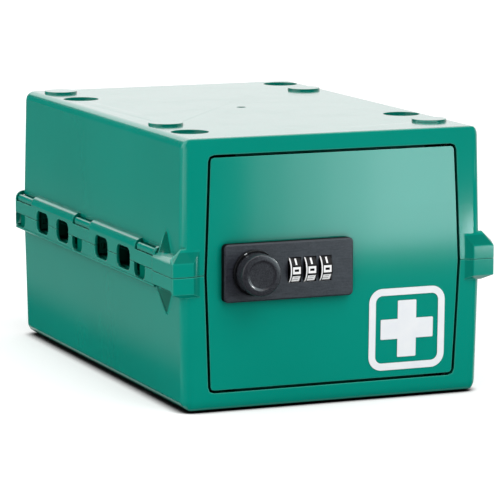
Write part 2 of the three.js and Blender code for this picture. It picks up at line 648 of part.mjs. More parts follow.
function pegsAndRecesses() {
  const pegs = pegPlaces().map(([x, y]) =>
    rodZ(PEG_RADIUS, HALF_HEIGHT - EMBED, HALF_HEIGHT + PEG_HEIGHT, x, y, SIDES.fine));
  const pads = pegPlaces().map(([x, y]) =>
    rodZ(RECESS_RADIUS + RECESS_PAD, HALF_HEIGHT - WALL - RECESS_DEPTH, HALF_HEIGHT - EMBED, -x, y));
  const recesses = pegPlaces().map(([x, y]) =>
    rodZ(RECESS_RADIUS, HALF_HEIGHT - RECESS_DEPTH, HALF_HEIGHT + OVERRUN, -x, y, SIDES.fine));
  return { pegs, pads, recesses };
}

// One shell with its closed end up. The lower shell is a second one turned half a turn about Y.
function shell(size) {
  const outside = tub(SEAM_GAP / 2, HALF_HEIGHT, 0, 0, TOP_EDGE_RADIUS, FRONT_EDGE_RADIUS, CORNER_RADIUS);
  const hollow = tub(-OVERRUN, HALF_HEIGHT - WALL, WALL, FRONT_WALL, CAVITY_EDGE_RADIUS, CAVITY_EDGE_RADIUS,
    CAVITY_EDGE_RADIUS);
  const above = box(-HALF_WIDTH, HALF_WIDTH, FRONT_Y, REAR_Y, SEAM_GAP / 2, HALF_HEIGHT);
  const { pegs, pads, recesses } = pegsAndRecesses();
  const doorway = prismY(openingShape(0), FRONT_Y - LUG_PROUD - OVERRUN,
    FRONT_Y + FRONT_WALL + DRAFT_INSET + OVERRUN);
  const blocks = [-1, 1].flatMap((side) => [lug(side, size), gusset(side, size)]);
  const keepOut = join(hollow, doorway);
  const { bulges, hollows } = wallPockets();
  const frame = frontFrame().intersect(above).intersect(outside);
  const shellBody = join(cut(join(outside, ...blocks), keepOut), frame, ...pegs, ...pads, ...bulges);
  const railed = join(shellBody, cut(maleRail(), hollow), cut(femaleRail(), hollow), seamLips());
  const dimple = rodZ(DIMPLE_RADIUS, HALF_HEIGHT - DIMPLE_DEPTH, HALF_HEIGHT + OVERRUN, 0, 0);
  return cut(railed, seamRabbets(), ...windowCuts(), ...hollows, ...pinSockets(), ...recesses, dimple);
}

// The door's front follows the draft of both shells, so it bows gently from top to bottom
function bowY(z) {
  return DOOR_BOW * (z / OPENING_HALF_HEIGHT) ** 2;
}

function bowedSlab(frontY, thickness) {
  const levels = Array.from({ length: DOOR_BOW_STEPS + 1 }, (_, i) =>
    OPENING_HALF_HEIGHT * (2 * i / DOOR_BOW_STEPS - 1));
  const front = levels.map((z) => [frontY + bowY(z), z]);
  const back = levels.map((z) => [frontY + thickness + bowY(z), z]).reverse();
  return prismX(polygon([...back, ...front]), -HALF_WIDTH, HALF_WIDTH);
}

function lockCutout() {
  return box(LOCK_X - CUTOUT_WIDTH / 2, LOCK_X + CUTOUT_WIDTH / 2, DOOR_Y - OVERRUN, CASE_FRONT_Y + OVERRUN,
    LOCK_Z - CUTOUT_HEIGHT / 2, LOCK_Z + CUTOUT_HEIGHT / 2);
}

function doorRibs() {
  const leftX = DOOR_CLEARANCE + DOOR_RIB_INSET_X - OPENING_HALF_WIDTH;
  const rightX = HINGE_X - BARREL_RADIUS - DOOR_RIB;
  const halfZ = OPENING_HALF_HEIGHT - DOOR_CLEARANCE - DOOR_RIB_INSET_Z;
  const frontY = DOOR_Y + DOOR_THICKNESS / 2;
  const rearY = DOOR_Y + DOOR_THICKNESS + DOOR_RIB_DEPTH;
  const outer = box(leftX, rightX, frontY, rearY, -halfZ, halfZ);
  const inner = box(leftX + DOOR_RIB, rightX - DOOR_RIB, frontY - OVERRUN, rearY + OVERRUN,
    DOOR_RIB - halfZ, halfZ - DOOR_RIB);
  return outer.subtract(inner);
}

function doorPanel() {
  const edgeZ = OPENING_HALF_HEIGHT - DOOR_CLEARANCE;
  const outline = prismY(openingShape(DOOR_CLEARANCE), DOOR_Y - OVERRUN, FLANGE_REAR_Y);
  const barrel = rodZ(BARREL_RADIUS, BARREL_END_GAP - edgeZ, edgeZ - BARREL_END_GAP, HINGE_X, HINGE_Y);
  const behindFront = bowedSlab(DOOR_Y, FLANGE_DEPTH);
  const pinStart = edgeZ - PIN_IN_DOOR - PIN_CLEARANCE;
  const holes = [[pinStart, edgeZ + OVERRUN], [-edgeZ - OVERRUN, -pinStart]].map(([low, high]) =>
    rodZ(PIN_RADIUS + PIN_CLEARANCE, low, high, HINGE_X, HINGE_Y));
  const panel = outline.intersect(bowedSlab(DOOR_Y, DOOR_THICKNESS));
  return cut(join(panel, join(barrel, doorRibs()).intersect(behindFront)), lockCutout(), ...holes);
}

function hingePin(side) {
  const inner = side * (OPENING_HALF_HEIGHT - DOOR_CLEARANCE - PIN_IN_DOOR);
  const outer = side * (OPENING_HALF_HEIGHT + PIN_IN_SOCKET);
  return rodZ(PIN_RADIUS, Math.min(inner, outer), Math.max(inner, outer), HINGE_X, HINGE_Y);
}

function onDoor(shape) {
  const frontY = DOOR_Y - SIGN_GAP - SIGN_THICKNESS;
  return prismY(shape, frontY - OVERRUN, FLANGE_REAR_Y).intersect(bowedSlab(frontY, SIGN_THICKNESS));
}

function signSquare(size, radius) {
  return roundedRectangle(SIGN_X - size / 2, SIGN_X + size / 2, SIGN_Z - size / 2, SIGN_Z + size / 2, radius);
}

function signBorder() {
  const outer = onDoor(signSquare(SIGN_SIZE, SIGN_RADIUS));
  const hole = prismY(signSquare(SIGN_SIZE - 2 * SIGN_LINE, SIGN_RADIUS - SIGN_LINE),
    DOOR_Y - SIGN_GAP - SIGN_THICKNESS - OVERRUN, FLANGE_REAR_Y);
  return outer.subtract(hole);
}

function signCross() {
  const long = CROSS_LENGTH / 2;
  const wide = CROSS_WIDTH / 2;
  const quarter = [[long, -wide], [long, wide], [wide, wide]];
  const turns = [[1, 0], [0, 1], [-1, 0], [0, -1]];
  const points = turns.flatMap(([c, s]) => quarter.map(([a, b]) =>
    [SIGN_X + c * a - s * b, SIGN_Z + s * a + c * b]));
  return onDoor(polygon(points));
}

function wheelCentres() {
  const middle = (WHEEL_COUNT - 1) / 2;
  return Array.from({ length: WHEEL_COUNT }, (_, i) => WHEEL_X + (i - middle) * WHEEL_PITCH);
}

function bossPlaces() {
  const halfX = CUTOUT_WIDTH / 2 - BOSS_INSET;
  const halfZ = CUTOUT_HEIGHT / 2 - BOSS_INSET;
  return [[-1, -1], [1, -1], [1, 1], [-1, 1]].map(([sx, sz]) => [LOCK_X + sx * halfX, LOCK_Z + sz * halfZ]);
}

function facePlate() {
  const shape = roundedRectangle(LOCK_X - FACE_WIDTH / 2 + FACE_CHAMFER, LOCK_X + FACE_WIDTH / 2 - FACE_CHAMFER,
    LOCK_Z - FACE_HEIGHT / 2 + FACE_CHAMFER, LOCK_Z + FACE_HEIGHT / 2 - FACE_CHAMFER, FACE_RADIUS);
  const bevelled = new THREE.ExtrudeGeometry(shape, { depth: FACE_THICKNESS, bevelThickness: FACE_CHAMFER,
    bevelSize: FACE_CHAMFER, bevelSegments: 1, curveSegments: 2 });
  const slab = solid(bevelled.rotateX(Math.PI / 2).translate(0, FACE_BACK_Y + FACE_CHAMFER, 0));
  const plate = slab.intersect(box(LOCK_X - FACE_WIDTH / 2, LOCK_X + FACE_WIDTH / 2, FACE_FRONT_Y, FACE_BACK_Y,
    LOCK_Z - FACE_HEIGHT / 2, LOCK_Z + FACE_HEIGHT / 2));
  const bosses = bossPlaces().map(([x, z]) =>
    rodY(BOSS_RADIUS, FACE_BACK_Y - EMBED, CASE_FLOOR_Y - SEAT_GAP, x, z, SIDES.thin));
  const pilots = bossPlaces().map(([x, z]) =>
    rodY(SCREW_RADIUS + SCREW_CLEARANCE, SCREW_TIP_Y - SEAT_GAP, CASE_FLOOR_Y, x, z, SIDES.small));
  return cut(join(plate, ...bosses, ...axleCheeks()), ...wheelWells(), axleBore(), knobBore(), ...pilots);
}

function cheekSpan() {
  const centres = wheelCentres();
  const reach = WHEEL_WIDTH / 2 + CHEEK_GAP;
  return [centres[0] - reach, centres[centres.length - 1] + reach];
}

function axleCheeks() {
  const [left, right] = cheekSpan();
  const rear = AXLE_Y + CHEEK_HEIGHT / 2;
  return [[left - CHEEK_THICKNESS, left], [right, right + CHEEK_THICKNESS]].map(([x0, x1]) =>
    box(x0, x1, FACE_BACK_Y - EMBED, rear, LOCK_Z - CHEEK_HEIGHT / 2, LOCK_Z + CHEEK_HEIGHT / 2));
}

function axleEnds() {
  const [left, right] = cheekSpan();
  return [left - CHEEK_THICKNESS, right + CHEEK_THICKNESS];
}

function axleBore() {
  const [left, right] = axleEnds();
  return rodX(AXLE_RADIUS + AXLE_CLEARANCE, left - OVERRUN, right + OVERRUN, AXLE_Y, LOCK_Z, SIDES.thin);
}

// Each wheel's window follows the wheel; its code ring runs in a slot at the back of the plate
function wheelWells() {
  const half = WHEEL_WIDTH / 2 + WINDOW_SIDE_CLEARANCE;
  const windows = wheelCentres().map((x) => rodX(WHEEL_RADIUS + WHEEL_CLEARANCE, x - half, x + half,
    AXLE_Y, LOCK_Z, SIDES.fine));
  const halfSlot = CODE_RING_THICKNESS / 2 + RING_SIDE_CLEARANCE;
  const slots = ringCentres().map((x) => rodX(CODE_RING_RADIUS + RING_CLEARANCE, x - halfSlot, x + halfSlot,
    AXLE_Y, LOCK_Z));
  return [...windows, ...slots];
}

function knobBore() {
  return rodY(SPINDLE_RADIUS + SPINDLE_CLEARANCE, FACE_FRONT_Y - OVERRUN, FACE_BACK_Y + OVERRUN,
    KNOB_X, LOCK_Z);
}

function ringCentres() {
  return wheelCentres().map((x) => x + WHEEL_PITCH / 2);
}

function rearCase() {
  const halfX = CUTOUT_WIDTH / 2 + CASE_RIM_X;
  const halfZ = CUTOUT_HEIGHT / 2 + CASE_RIM_Z;
  const outer = box(LOCK_X - halfX, LOCK_X + halfX, CASE_FRONT_Y, CASE_REAR_Y, LOCK_Z - halfZ, LOCK_Z + halfZ);
  const inner = box(LOCK_X - halfX + CASE_WALL, LOCK_X + halfX - CASE_WALL, CASE_FRONT_Y - OVERRUN,
    CASE_FLOOR_Y, LOCK_Z - halfZ + CASE_WALL, LOCK_Z + halfZ - CASE_WALL);
  const spindleHole = rodY(SPINDLE_RADIUS + SPINDLE_CLEARANCE, CASE_FLOOR_Y - OVERRUN, CASE_REAR_Y + OVERRUN,
    KNOB_X, LOCK_Z);
  const screwHoles = bossPlaces().map(([x, z]) => rodY(SCREW_RADIUS + SCREW_CLEARANCE,
    CASE_FLOOR_Y - OVERRUN, CASE_REAR_Y + OVERRUN, x, z, SIDES.small));
  return cut(join(outer.subtract(inner), ...fenceGuides()), spindleHole, ...screwHoles);
}

function fenceSpan() {
  const rings = ringCentres();
  return [wheelCentres()[0] - WHEEL_WIDTH / 2 - FENCE_END, rings[rings.length - 1] + GUIDE_LENGTH + EMBED];
}

// Ribs in the case, above and below each end of the fence, that it slides between
function fenceGuides() {
  const [left, right] = fenceSpan();
  const frontY = FENCE_FRONT_Y - FENCE_TRAVEL;
  const rearY = CASE_FLOOR_Y + CASE_WALL / 2;
  const near = FENCE_HEIGHT / 2 + SEAT_GAP;
  const far = near + GUIDE_THICKNESS;
  return [[left, left + GUIDE_LENGTH], [right - GUIDE_LENGTH, right]].flatMap(([x0, x1]) => [
    box(x0, x1, frontY, rearY, LOCK_Z + near, LOCK_Z + far),
    box(x0, x1, frontY, rearY, LOCK_Z - far, LOCK_Z - near),
  ]);
}

function lockingFence() {
  const [left, right] = fenceSpan();
  const toothHeight = CODE_NOTCH_WIDTH - 2 * TOOTH_CLEARANCE;
  const bar = box(left, right, FENCE_FRONT_Y, FENCE_REAR_Y,
    LOCK_Z - FENCE_HEIGHT / 2, LOCK_Z + FENCE_HEIGHT / 2);
  const teeth = ringCentres().map((x) => box(x - TOOTH_THICKNESS / 2, x + TOOTH_THICKNESS / 2, FENCE_TIP_Y,
    FENCE_FRONT_Y + EMBED, LOCK_Z - toothHeight / 2, LOCK_Z + toothHeight / 2));
  return join(bar, ...teeth);
}

// Leaf spring with a finger over each wheel, hung from the top of the case
function detentSpring() {
  const [left, right] = cheekSpan();
  const fingerZ = LOCK_Z + WHEEL_RADIUS + SPRING_GAP;
  const topZ = LOCK_Z + CUTOUT_HEIGHT / 2 + CASE_RIM_Z - CASE_WALL - SEAT_GAP;
  const rearY = CASE_FRONT_Y + SPRING_REACH;
  const webY = rearY - SPRING_THICKNESS;
  const profile = polygon([
    [CASE_FRONT_Y, fingerZ], [rearY, fingerZ], [rearY, topZ], [webY, topZ],
    [webY, fingerZ + SPRING_THICKNESS], [CASE_FRONT_Y, fingerZ + SPRING_THICKNESS],
  ]);
  const slits = ringCentres().slice(0, -1).map((x) => box(x - SPRING_SLIT / 2, x + SPRING_SLIT / 2,
    CASE_FRONT_Y - OVERRUN, webY - SPRING_THICKNESS, fingerZ - OVERRUN, fingerZ + SPRING_THICKNESS + OVERRUN));
  return cut(prismX(profile, left + SPRING_END_GAP, right - SPRING_END_GAP), ...slits);
}

function screw([x, z]) {
  const endY = CASE_REAR_Y + SCREW_HEAD_HEIGHT;
  const head = rodY(SCREW_HEAD_RADIUS, CASE_REAR_Y, endY, x, z);
  const shank = rodY(SCREW_RADIUS, SCREW_TIP_Y, CASE_REAR_Y + EMBED, x, z, SIDES.small);
  const slot = box(x - SCREW_HEAD_RADIUS, x + SCREW_HEAD_RADIUS, endY - SCREW_SLOT_DEPTH, endY + OVERRUN,
    z - SCREW_SLOT_WIDTH / 2, z + SCREW_SLOT_WIDTH / 2);
  return cut(join(head, shank), slot);
}

function latheY(profile, sides = SIDES.fine) {
  const points = profile.map(([radius, y]) => new THREE.Vector2(radius, y));
  return solid(new THREE.LatheGeometry(points, sides).translate(KNOB_X, 0, LOCK_Z));
}

function knobCap() {
  const backY = SKIRT_FRONT_Y - SEAT_GAP;
  const dishRadius = KNOB_RADIUS - KNOB_RIM - KNOB_DISH_DEPTH;
  const dishY = KNOB_FRONT_Y + KNOB_DISH_DEPTH;
  const profile = [[0, dishY], [dishRadius, dishY], [dishRadius + KNOB_DISH_DEPTH, KNOB_FRONT_Y]];
  for (let step = 0; step <= ROUND_STEPS; step += 1) {
    const angle = (step / ROUND_STEPS) * Math.PI / 2;
    profile.push([KNOB_RADIUS - KNOB_EDGE_RADIUS * (1 - Math.sin(angle)),
      KNOB_FRONT_Y + KNOB_EDGE_RADIUS * (1 - Math.cos(angle))]);
  }
  profile.push([KNOB_RADIUS, backY], [0, backY]);
  const bore = rodY(SPINDLE_RADIUS + SPINDLE_CLEARANCE, SPINDLE_START_Y - SPINDLE_CLEARANCE, backY + OVERRUN,
    KNOB_X, LOCK_Z);
  return latheY(profile).subtract(bore);
}

function markBox(clearance) {
  const angle = THREE.MathUtils.degToRad(MARK_ANGLE);
  const radius = SKIRT_RADIUS - MARK_SIZE / 2 - MARK_INSET;
  const side = MARK_SIZE + 2 * clearance;
  const block = new THREE.BoxGeometry(side, MARK_DEPTH + 2 * clearance, side);
  const turn = new THREE.Matrix4().makeRotationY(Math.PI / 2 - angle);
  return solid(block.applyMatrix4(turn).translate(
    KNOB_X + radius * Math.cos(angle), SKIRT_FRONT_Y + MARK_DEPTH / 2, LOCK_Z + radius * Math.sin(angle)));
}

function knobSkirt() {
  const bore = SPINDLE_RADIUS + SPINDLE_CLEARANCE;
  const disc = latheY([[bore, SKIRT_FRONT_Y], [SKIRT_RADIUS - SKIRT_CHAMFER, SKIRT_FRONT_Y],
    [SKIRT_RADIUS, SKIRT_FRONT_Y + SKIRT_CHAMFER], [SKIRT_RADIUS, SKIRT_BACK_Y], [bore, SKIRT_BACK_Y],
    [bore, SKIRT_FRONT_Y]]);
  return disc.subtract(markBox(MARK_CLEARANCE));
}

function spindle() {
  const shoulderY = CAM_FRONT_Y - SEAT_GAP;
  const half = SPINDLE_SQUARE / 2;
  return join(
    rodY(SPINDLE_RADIUS, SPINDLE_START_Y, shoulderY, KNOB_X, LOCK_Z),
    box(KNOB_X - half, KNOB_X + half, shoulderY - EMBED, CAM_REAR_Y, LOCK_Z - half, LOCK_Z + half),
    rodY(SPINDLE_THREAD_RADIUS, CAM_REAR_Y - EMBED, SPINDLE_END_Y, KNOB_X, LOCK_Z, SIDES.thin),
  );
}

// The cam stands upright, clear of the frame, when the door is unlocked
function camLatch() {
  const half = CAM_WIDTH / 2;
  const tipZ = LOCK_Z + CAM_REACH;
  const shape = new THREE.Shape();
  shape.absarc(KNOB_X, LOCK_Z, half, Math.PI, 2 * Math.PI);
  shape.lineTo(KNOB_X + half, tipZ - CAM_CHAMFER);
  shape.lineTo(KNOB_X + half - CAM_CHAMFER, tipZ);
  shape.lineTo(KNOB_X - half + CAM_CHAMFER, tipZ);
  shape.lineTo(KNOB_X - half, tipZ - CAM_CHAMFER);
  const hole = SPINDLE_SQUARE / 2 + SEAT_GAP;
  return prismY(shape, CAM_FRONT_Y, CAM_REAR_Y, SIDES.thin / 2).subtract(box(KNOB_X - hole, KNOB_X + hole,
    CAM_FRONT_Y - OVERRUN, CAM_REAR_Y + OVERRUN, LOCK_Z - hole, LOCK_Z + hole));
}

function threadHole(y0, y1) {
  return rodY(SPINDLE_THREAD_RADIUS + SEAT_GAP, y0 - OVERRUN, y1 + OVERRUN, KNOB_X, LOCK_Z, SIDES.thin);
}

function camWasher() {
  return rodY(WASHER_RADIUS, WASHER_FRONT_Y, WASHER_REAR_Y, KNOB_X, LOCK_Z).subtract(
    threadHole(WASHER_FRONT_Y, WASHER_REAR_Y));
}

function camNut() {
  return rodY(NUT_ACROSS_FLATS / Math.sqrt(3), NUT_FRONT_Y, NUT_REAR_Y, KNOB_X, LOCK_Z, 6).subtract(
    threadHole(NUT_FRONT_Y, NUT_REAR_Y));
}

// Ten flats carry the digits, and a round rim closes the wheel on its left
function numberWheel(x) {
  const flats = Array.from({ length: DIGITS }, (_, i) => {
    const angle = (i + 0.5) * 2 * Math.PI / DIGITS;
    return [AXLE_Y - WHEEL_RADIUS * Math.cos(angle), LOCK_Z - WHEEL_RADIUS * Math.sin(angle)];
  });
  const drum = prismX(polygon(flats), x - WHEEL_WIDTH / 2, x + WHEEL_WIDTH / 2);
  const leftX = x - WHEEL_WIDTH / 2;
  const rim = rodX(WHEEL_RADIUS, leftX, leftX + WHEEL_RIM, AXLE_Y, LOCK_Z, SIDES.fine);
  return join(drum, rim).subtract(rodX(SLEEVE_RADIUS + AXLE_CLEARANCE, x - WHEEL_WIDTH, x + WHEEL_WIDTH,
    AXLE_Y, LOCK_Z));
}

// Sleeve inside a wheel, with the notched ring that the fence reads
function codeSleeve(x) {
  const startX = x - WHEEL_WIDTH / 2;
  const ringX = x + WHEEL_PITCH / 2;
  const half = CODE_RING_THICKNESS / 2;
  const tube = rodX(SLEEVE_RADIUS, startX, ringX, AXLE_Y, LOCK_Z);
  const disc = rodX(CODE_RING_RADIUS, ringX - half, ringX + half, AXLE_Y, LOCK_Z);
  const notch = box(ringX - half - OVERRUN, ringX + half + OVERRUN,
    AXLE_Y + CODE_RING_RADIUS - CODE_NOTCH_DEPTH, AXLE_Y + CODE_RING_RADIUS + OVERRUN,
    LOCK_Z - CODE_NOTCH_WIDTH / 2, LOCK_Z + CODE_NOTCH_WIDTH / 2);
  const bore = rodX(AXLE_RADIUS + AXLE_CLEARANCE, startX - OVERRUN, ringX + half + OVERRUN, AXLE_Y, LOCK_Z,
    SIDES.thin);
  return cut(join(tube, disc), notch, bore);
}

function wheelAxle() {
  const [left, right] = axleEnds();
  return rodX(AXLE_RADIUS, left, right, AXLE_Y, LOCK_Z, SIDES.thin);
}

// Materials
const greenPlastic = { color: 0x008a72, roughness: 0.25, metalness: 0 };
const doorPlastic = { color: 0x009c83, roughness: 0.2, metalness: 0 };
const blackPlastic = { color: 0x2b2b31, roughness: 0.45, metalness: 0 };
const blackMetal = { color: 0x26262b, roughness: 0.35, metalness: 0.4 };
const whiteInk = { color: 0xf4f6f4, roughness: 0.5, metalness: 0 };
const steel = { color: 0xb8babd, roughness: 0.3, metalness: 1 };

function addMesh(group, name, shape, look) {
  const source = shape.getMesh();
  const geometry = new THREE.BufferGeometry();
  geometry.setAttribute('position', new THREE.BufferAttribute(new Float32Array(source.vertProperties), 3));
  geometry.setIndex(new THREE.BufferAttribute(new Uint32Array(source.triVerts), 1));
  const mesh = new THREE.Mesh(geometry, new THREE.MeshStandardMaterial(look));
  mesh.name = name;
  group.add(mesh);
  return mesh;
}

const lockBox = new THREE.Group();
const aboutMidplane = new THREE.Group();
aboutMidplane.position.set(0, CENTRING_Y, MIDPLANE_Z);
lockBox.add(aboutMidplane);

addMesh(aboutMidplane, 'upper_shell', shell('tall'), greenPlastic);
const turnedOver = new THREE.Group();
turnedOver.rotation.y = Math.PI;
aboutMidplane.add(turnedOver);
addMesh(turnedOver, 'lower_shell', shell('short'), greenPlastic);

const door = new THREE.Group();
aboutMidplane.add(door);
addMesh(door, 'door_panel', doorPanel(), doorPlastic);
addMesh(door, 'upper_hinge_pin', hingePin(1), steel);
addMesh(door, 'lower_hinge_pin', hingePin(-1), steel);
addMesh(door, 'sign_border', signBorder(), whiteInk);
addMesh(door, 'sign_cross', signCross(), whiteInk);

const lock = new THREE.Group();
door.add(lock);
addMesh(lock, 'lock_face_plate', facePlate(), blackPlastic);
addMesh(lock, 'lock_rear_case', rearCase(), blackPlastic);
bossPlaces().forEach((place, i) => addMesh(lock, `case_screw_${i + 1}`, screw(place), steel));
addMesh(lock, 'locking_fence', lockingFence(), steel);
addMesh(lock, 'detent_spring', detentSpring(), steel);
addMesh(lock, 'wheel_axle', wheelAxle(), steel);
wheelCentres().forEach((x, i) => {
  addMesh(lock, `number_wheel_${i + 1}`, numberWheel(x), blackPlastic);
  addMesh(lock, `code_sleeve_${i + 1}`, codeSleeve(x), steel);
});

const knob = new THREE.Group();
lock.add(knob);
addMesh(knob, 'knob_cap', knobCap(), blackMetal);
addMesh(knob, 'knob_skirt', knobSkirt(), blackPlastic);
addMesh(knob, 'index_mark', markBox(0), whiteInk);
addMesh(knob, 'spindle', spindle(), steel);
addMesh(knob, 'cam_latch', camLatch(), steel);
addMesh(knob, 'cam_washer', camWasher(), steel);
addMesh(knob, 'cam_nut', camNut(), steel);

export default lockBox;
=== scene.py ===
# %% [markdown]
# This file dresses one medication lock box: a green plastic box of two alike halves, a door that
# turns on two pins, a black combination lock and a white first-aid sign. The solids come from the
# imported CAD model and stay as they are. Each step says what a piece or a finish is on the real box,
# how it could be made in Blender, and why it is made this way. Lengths are in metres, and the door
# looks along minus Y.

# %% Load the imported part
import json
from math import cos, pi, radians, sin

import bmesh
import bpy
from mathutils import Matrix, Vector

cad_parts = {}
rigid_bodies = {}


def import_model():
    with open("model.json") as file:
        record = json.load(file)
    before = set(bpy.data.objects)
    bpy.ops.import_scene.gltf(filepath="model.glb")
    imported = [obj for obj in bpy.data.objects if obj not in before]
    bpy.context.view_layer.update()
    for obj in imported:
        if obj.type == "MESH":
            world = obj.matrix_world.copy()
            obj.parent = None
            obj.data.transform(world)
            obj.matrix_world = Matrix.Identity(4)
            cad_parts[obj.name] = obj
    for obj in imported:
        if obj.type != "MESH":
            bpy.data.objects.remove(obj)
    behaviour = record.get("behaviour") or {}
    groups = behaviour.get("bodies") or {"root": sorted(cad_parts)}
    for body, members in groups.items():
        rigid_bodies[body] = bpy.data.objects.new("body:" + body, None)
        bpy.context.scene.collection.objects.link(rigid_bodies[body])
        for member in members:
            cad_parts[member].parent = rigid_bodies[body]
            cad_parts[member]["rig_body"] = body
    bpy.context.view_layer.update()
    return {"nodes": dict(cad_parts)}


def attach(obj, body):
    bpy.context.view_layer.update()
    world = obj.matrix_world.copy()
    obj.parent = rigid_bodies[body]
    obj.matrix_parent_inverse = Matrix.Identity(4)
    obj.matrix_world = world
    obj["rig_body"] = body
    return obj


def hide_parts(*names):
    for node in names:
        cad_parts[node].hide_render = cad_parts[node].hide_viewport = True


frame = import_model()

MM = 0.001

# %% [markdown]
# The camera stands where the photographer stood: two metres away with a long lens, a little above
# the lid and to the left of the door. It could be aimed by eye, but its place was worked out from
# the corners of the box instead, so that the render can be laid over the photograph. A long lens
# keeps the sides of the box nearly parallel.

# %% Camera
CAMERA_PLACE = (-0.8022, -1.94925, 0.4051)
CAMERA_YAW = 22.435
CAMERA_PITCH = 8.881
CAMERA_ROLL = 0.103
PHOTO_SIZE = 500
FOCAL_PIXELS = 3233.7
SENSOR_WIDTH = 36
CLIP_END = 60

yaw, pitch = radians(CAMERA_YAW), radians(CAMERA_PITCH)
looking = Vector((sin(yaw) * cos(pitch), cos(yaw) * cos(pitch), -sin(pitch)))
camera_data = bpy.data.cameras.new("photo_camera")
camera_data.sensor_width = SENSOR_WIDTH
camera_data.lens = FOCAL_PIXELS / PHOTO_SIZE * SENSOR_WIDTH
camera_data.clip_end = CLIP_END
camera = bpy.data.objects.new("photo_camera", camera_data)
bpy.context.scene.collection.objects.link(camera)
aim = looking.to_track_quat("-Z", "Y").to_matrix().to_4x4()
roll = Matrix.Rotation(radians(CAMERA_ROLL), 4, "Z")
camera.matrix_world = Matrix.Translation(CAMERA_PLACE) @ aim @ roll
bpy.context.scene.camera = camera
bpy.context.scene.view_settings.view_transform = "Standard"
print("lens in millimetres:", round(camera_data.lens, 1))

# %% [markdown]
# A finish is a tree of nodes. Joined link by link in code, it hides what it does, so two small
# classes make it readable. A Signal is a number or colour that varies over a surface: a sum written
# with it adds the Math nodes, also when the plain number comes first, as in 1 - mask. One function
# adds every other node: its settings are set first, then its inputs get values or links.

# %% Signals
class Signal:
    def __init__(self, tree, socket):
        self.tree = tree
        self.socket = socket

    def math(self, operation, *inputs):
        return add_node(self.tree, "ShaderNodeMath", {"operation": operation}, dict(enumerate(inputs)))

    def __add__(self, other):
        return self.math("ADD", self, other)

    def __sub__(self, other):
        return self.math("SUBTRACT", self, other)

    def __rsub__(self, other):
        return self.math("SUBTRACT", other, self)

    def __mul__(self, other):
        return self.math("MULTIPLY", self, other)

    __radd__ = __add__
    __rmul__ = __mul__

    def __abs__(self):
        return self.math("ABSOLUTE", self)

    def at_most(self, limit):
        return self.math("MINIMUM", self, limit)

    def between(self, low, high):
        values = {"Value": self, "From Min": low, "From Max": high}
        return add_node(self.tree, "ShaderNodeMapRange", {"clamp": True}, values)

    def inside(self, low, high, blur):
        return self.between(low - blur, low) * self.between(high + blur, high)


def add_node(tree, kind, settings=None, inputs=None, output=0):
    node = tree.nodes.new(kind)
    for name, value in (settings or {}).items():
        setattr(node, name, value)
    for name, value in (inputs or {}).items():
        if isinstance(value, Signal):
            tree.links.new(value.socket, node.inputs[name])
        else:
            node.inputs[name].default_value = value
    return Signal(tree, node.outputs[output]) if node.outputs else node


print("signals ready: + - * abs, at_most, between, inside")

# %% [markdown]
# A Finish is one material. Its patterns read Object coordinates, so their grain keeps its real size
# in metres on every piece, and turns with the piece when the door swings. The Bevel node rounds the
# light on a sharp CAD edge without new faces, and where it disagrees with the flat face lies the
# edge: the green plastic gets a painted highlight there, the blacks their rubbed wear. Ambient
# Occlusion says how open a spot is, which finds the corners that get painted shade. The Normal
# output tells which way a face looks, so that the front can have its own gloss.

# %% Finishes
NO_GLOSS = 0.0
FRONT_STARTS, FRONT_FULL = -0.6, -0.9
EDGE_STARTS, EDGE_FULL = 0.02, 0.25
BEVEL_SAMPLES, OPENNESS_SAMPLES = 6, 8


class Finish:
    def __init__(self, name):
        self.material = bpy.data.materials.new(name)
        self.material.use_nodes = True
        self.tree = self.material.node_tree
        self.tree.nodes.clear()
        self.place = self.node("ShaderNodeTexCoord", output="Object")

    def node(self, kind, settings=None, inputs=None, output=0):
        return add_node(self.tree, kind, settings, inputs, output)

    def axes(self):
        return [self.node("ShaderNodeSeparateXYZ", inputs={"Vector": self.place}, output=axis)
                for axis in range(3)]

    def faces_front(self):
        normal = self.node("ShaderNodeTexCoord", output="Normal")
        along = self.node("ShaderNodeSeparateXYZ", inputs={"Vector": normal}, output=1)
        return along.between(FRONT_STARTS, FRONT_FULL)

    def noise(self, size, detail=2.0, roughness=0.5, stretch=None):
        place = self.place
        if stretch:
            place = self.node("ShaderNodeMapping", inputs={"Vector": place, "Scale": stretch})
        values = {"Vector": place, "Scale": 1 / size, "Detail": detail, "Roughness": roughness}
        return self.node("ShaderNodeTexNoise", inputs=values)

    def mix(self, amount, first, second):
        return self.node("ShaderNodeMix", {"data_type": "RGBA"}, {0: amount, 6: first, 7: second}, 2)

    def openness(self, distance, samples=OPENNESS_SAMPLES):
        return self.node("ShaderNodeAmbientOcclusion", {"samples": samples}, {"Distance": distance}, 1)

    def edges(self, radius):
        rounded = self.node("ShaderNodeBevel", {"samples": BEVEL_SAMPLES}, {"Radius": radius})
        flat = self.node("ShaderNodeNewGeometry", output="Normal")
        agreement = self.node("ShaderNodeVectorMath", {"operation": "DOT_PRODUCT"},
                              {0: rounded, 1: flat}, 1)
        return rounded, (1 - agreement).between(EDGE_STARTS, EDGE_FULL)

    def bump(self, height, depth, strength, normal=None):
        values = {"Height": height, "Distance": depth, "Strength": strength}
        if normal:
            values["Normal"] = normal
        return self.node("ShaderNodeBump", inputs=values)

    def shader(self, **sockets):
        values = {name.replace("_", " "): value for name, value in sockets.items()}
        return self.node("ShaderNodeBsdfPrincipled", inputs=values)

    def done(self, shader):
        self.node("ShaderNodeOutputMaterial", inputs={"Surface": shader})
        print("finish", self.material.name, "nodes:", len(self.tree.nodes))
        return self.material


# %% [markdown]
# The studio is white all round. The world could simply be a strong white, but then it would bleach
# the plastic. So it is white only to the eye: the camera, reflections and glass see strength 1, and
# what lights the box is a softer sky.

# %% White studio
SKY_LEVEL = 0.8
WHITE = (1.0, 1.0, 1.0, 1.0)

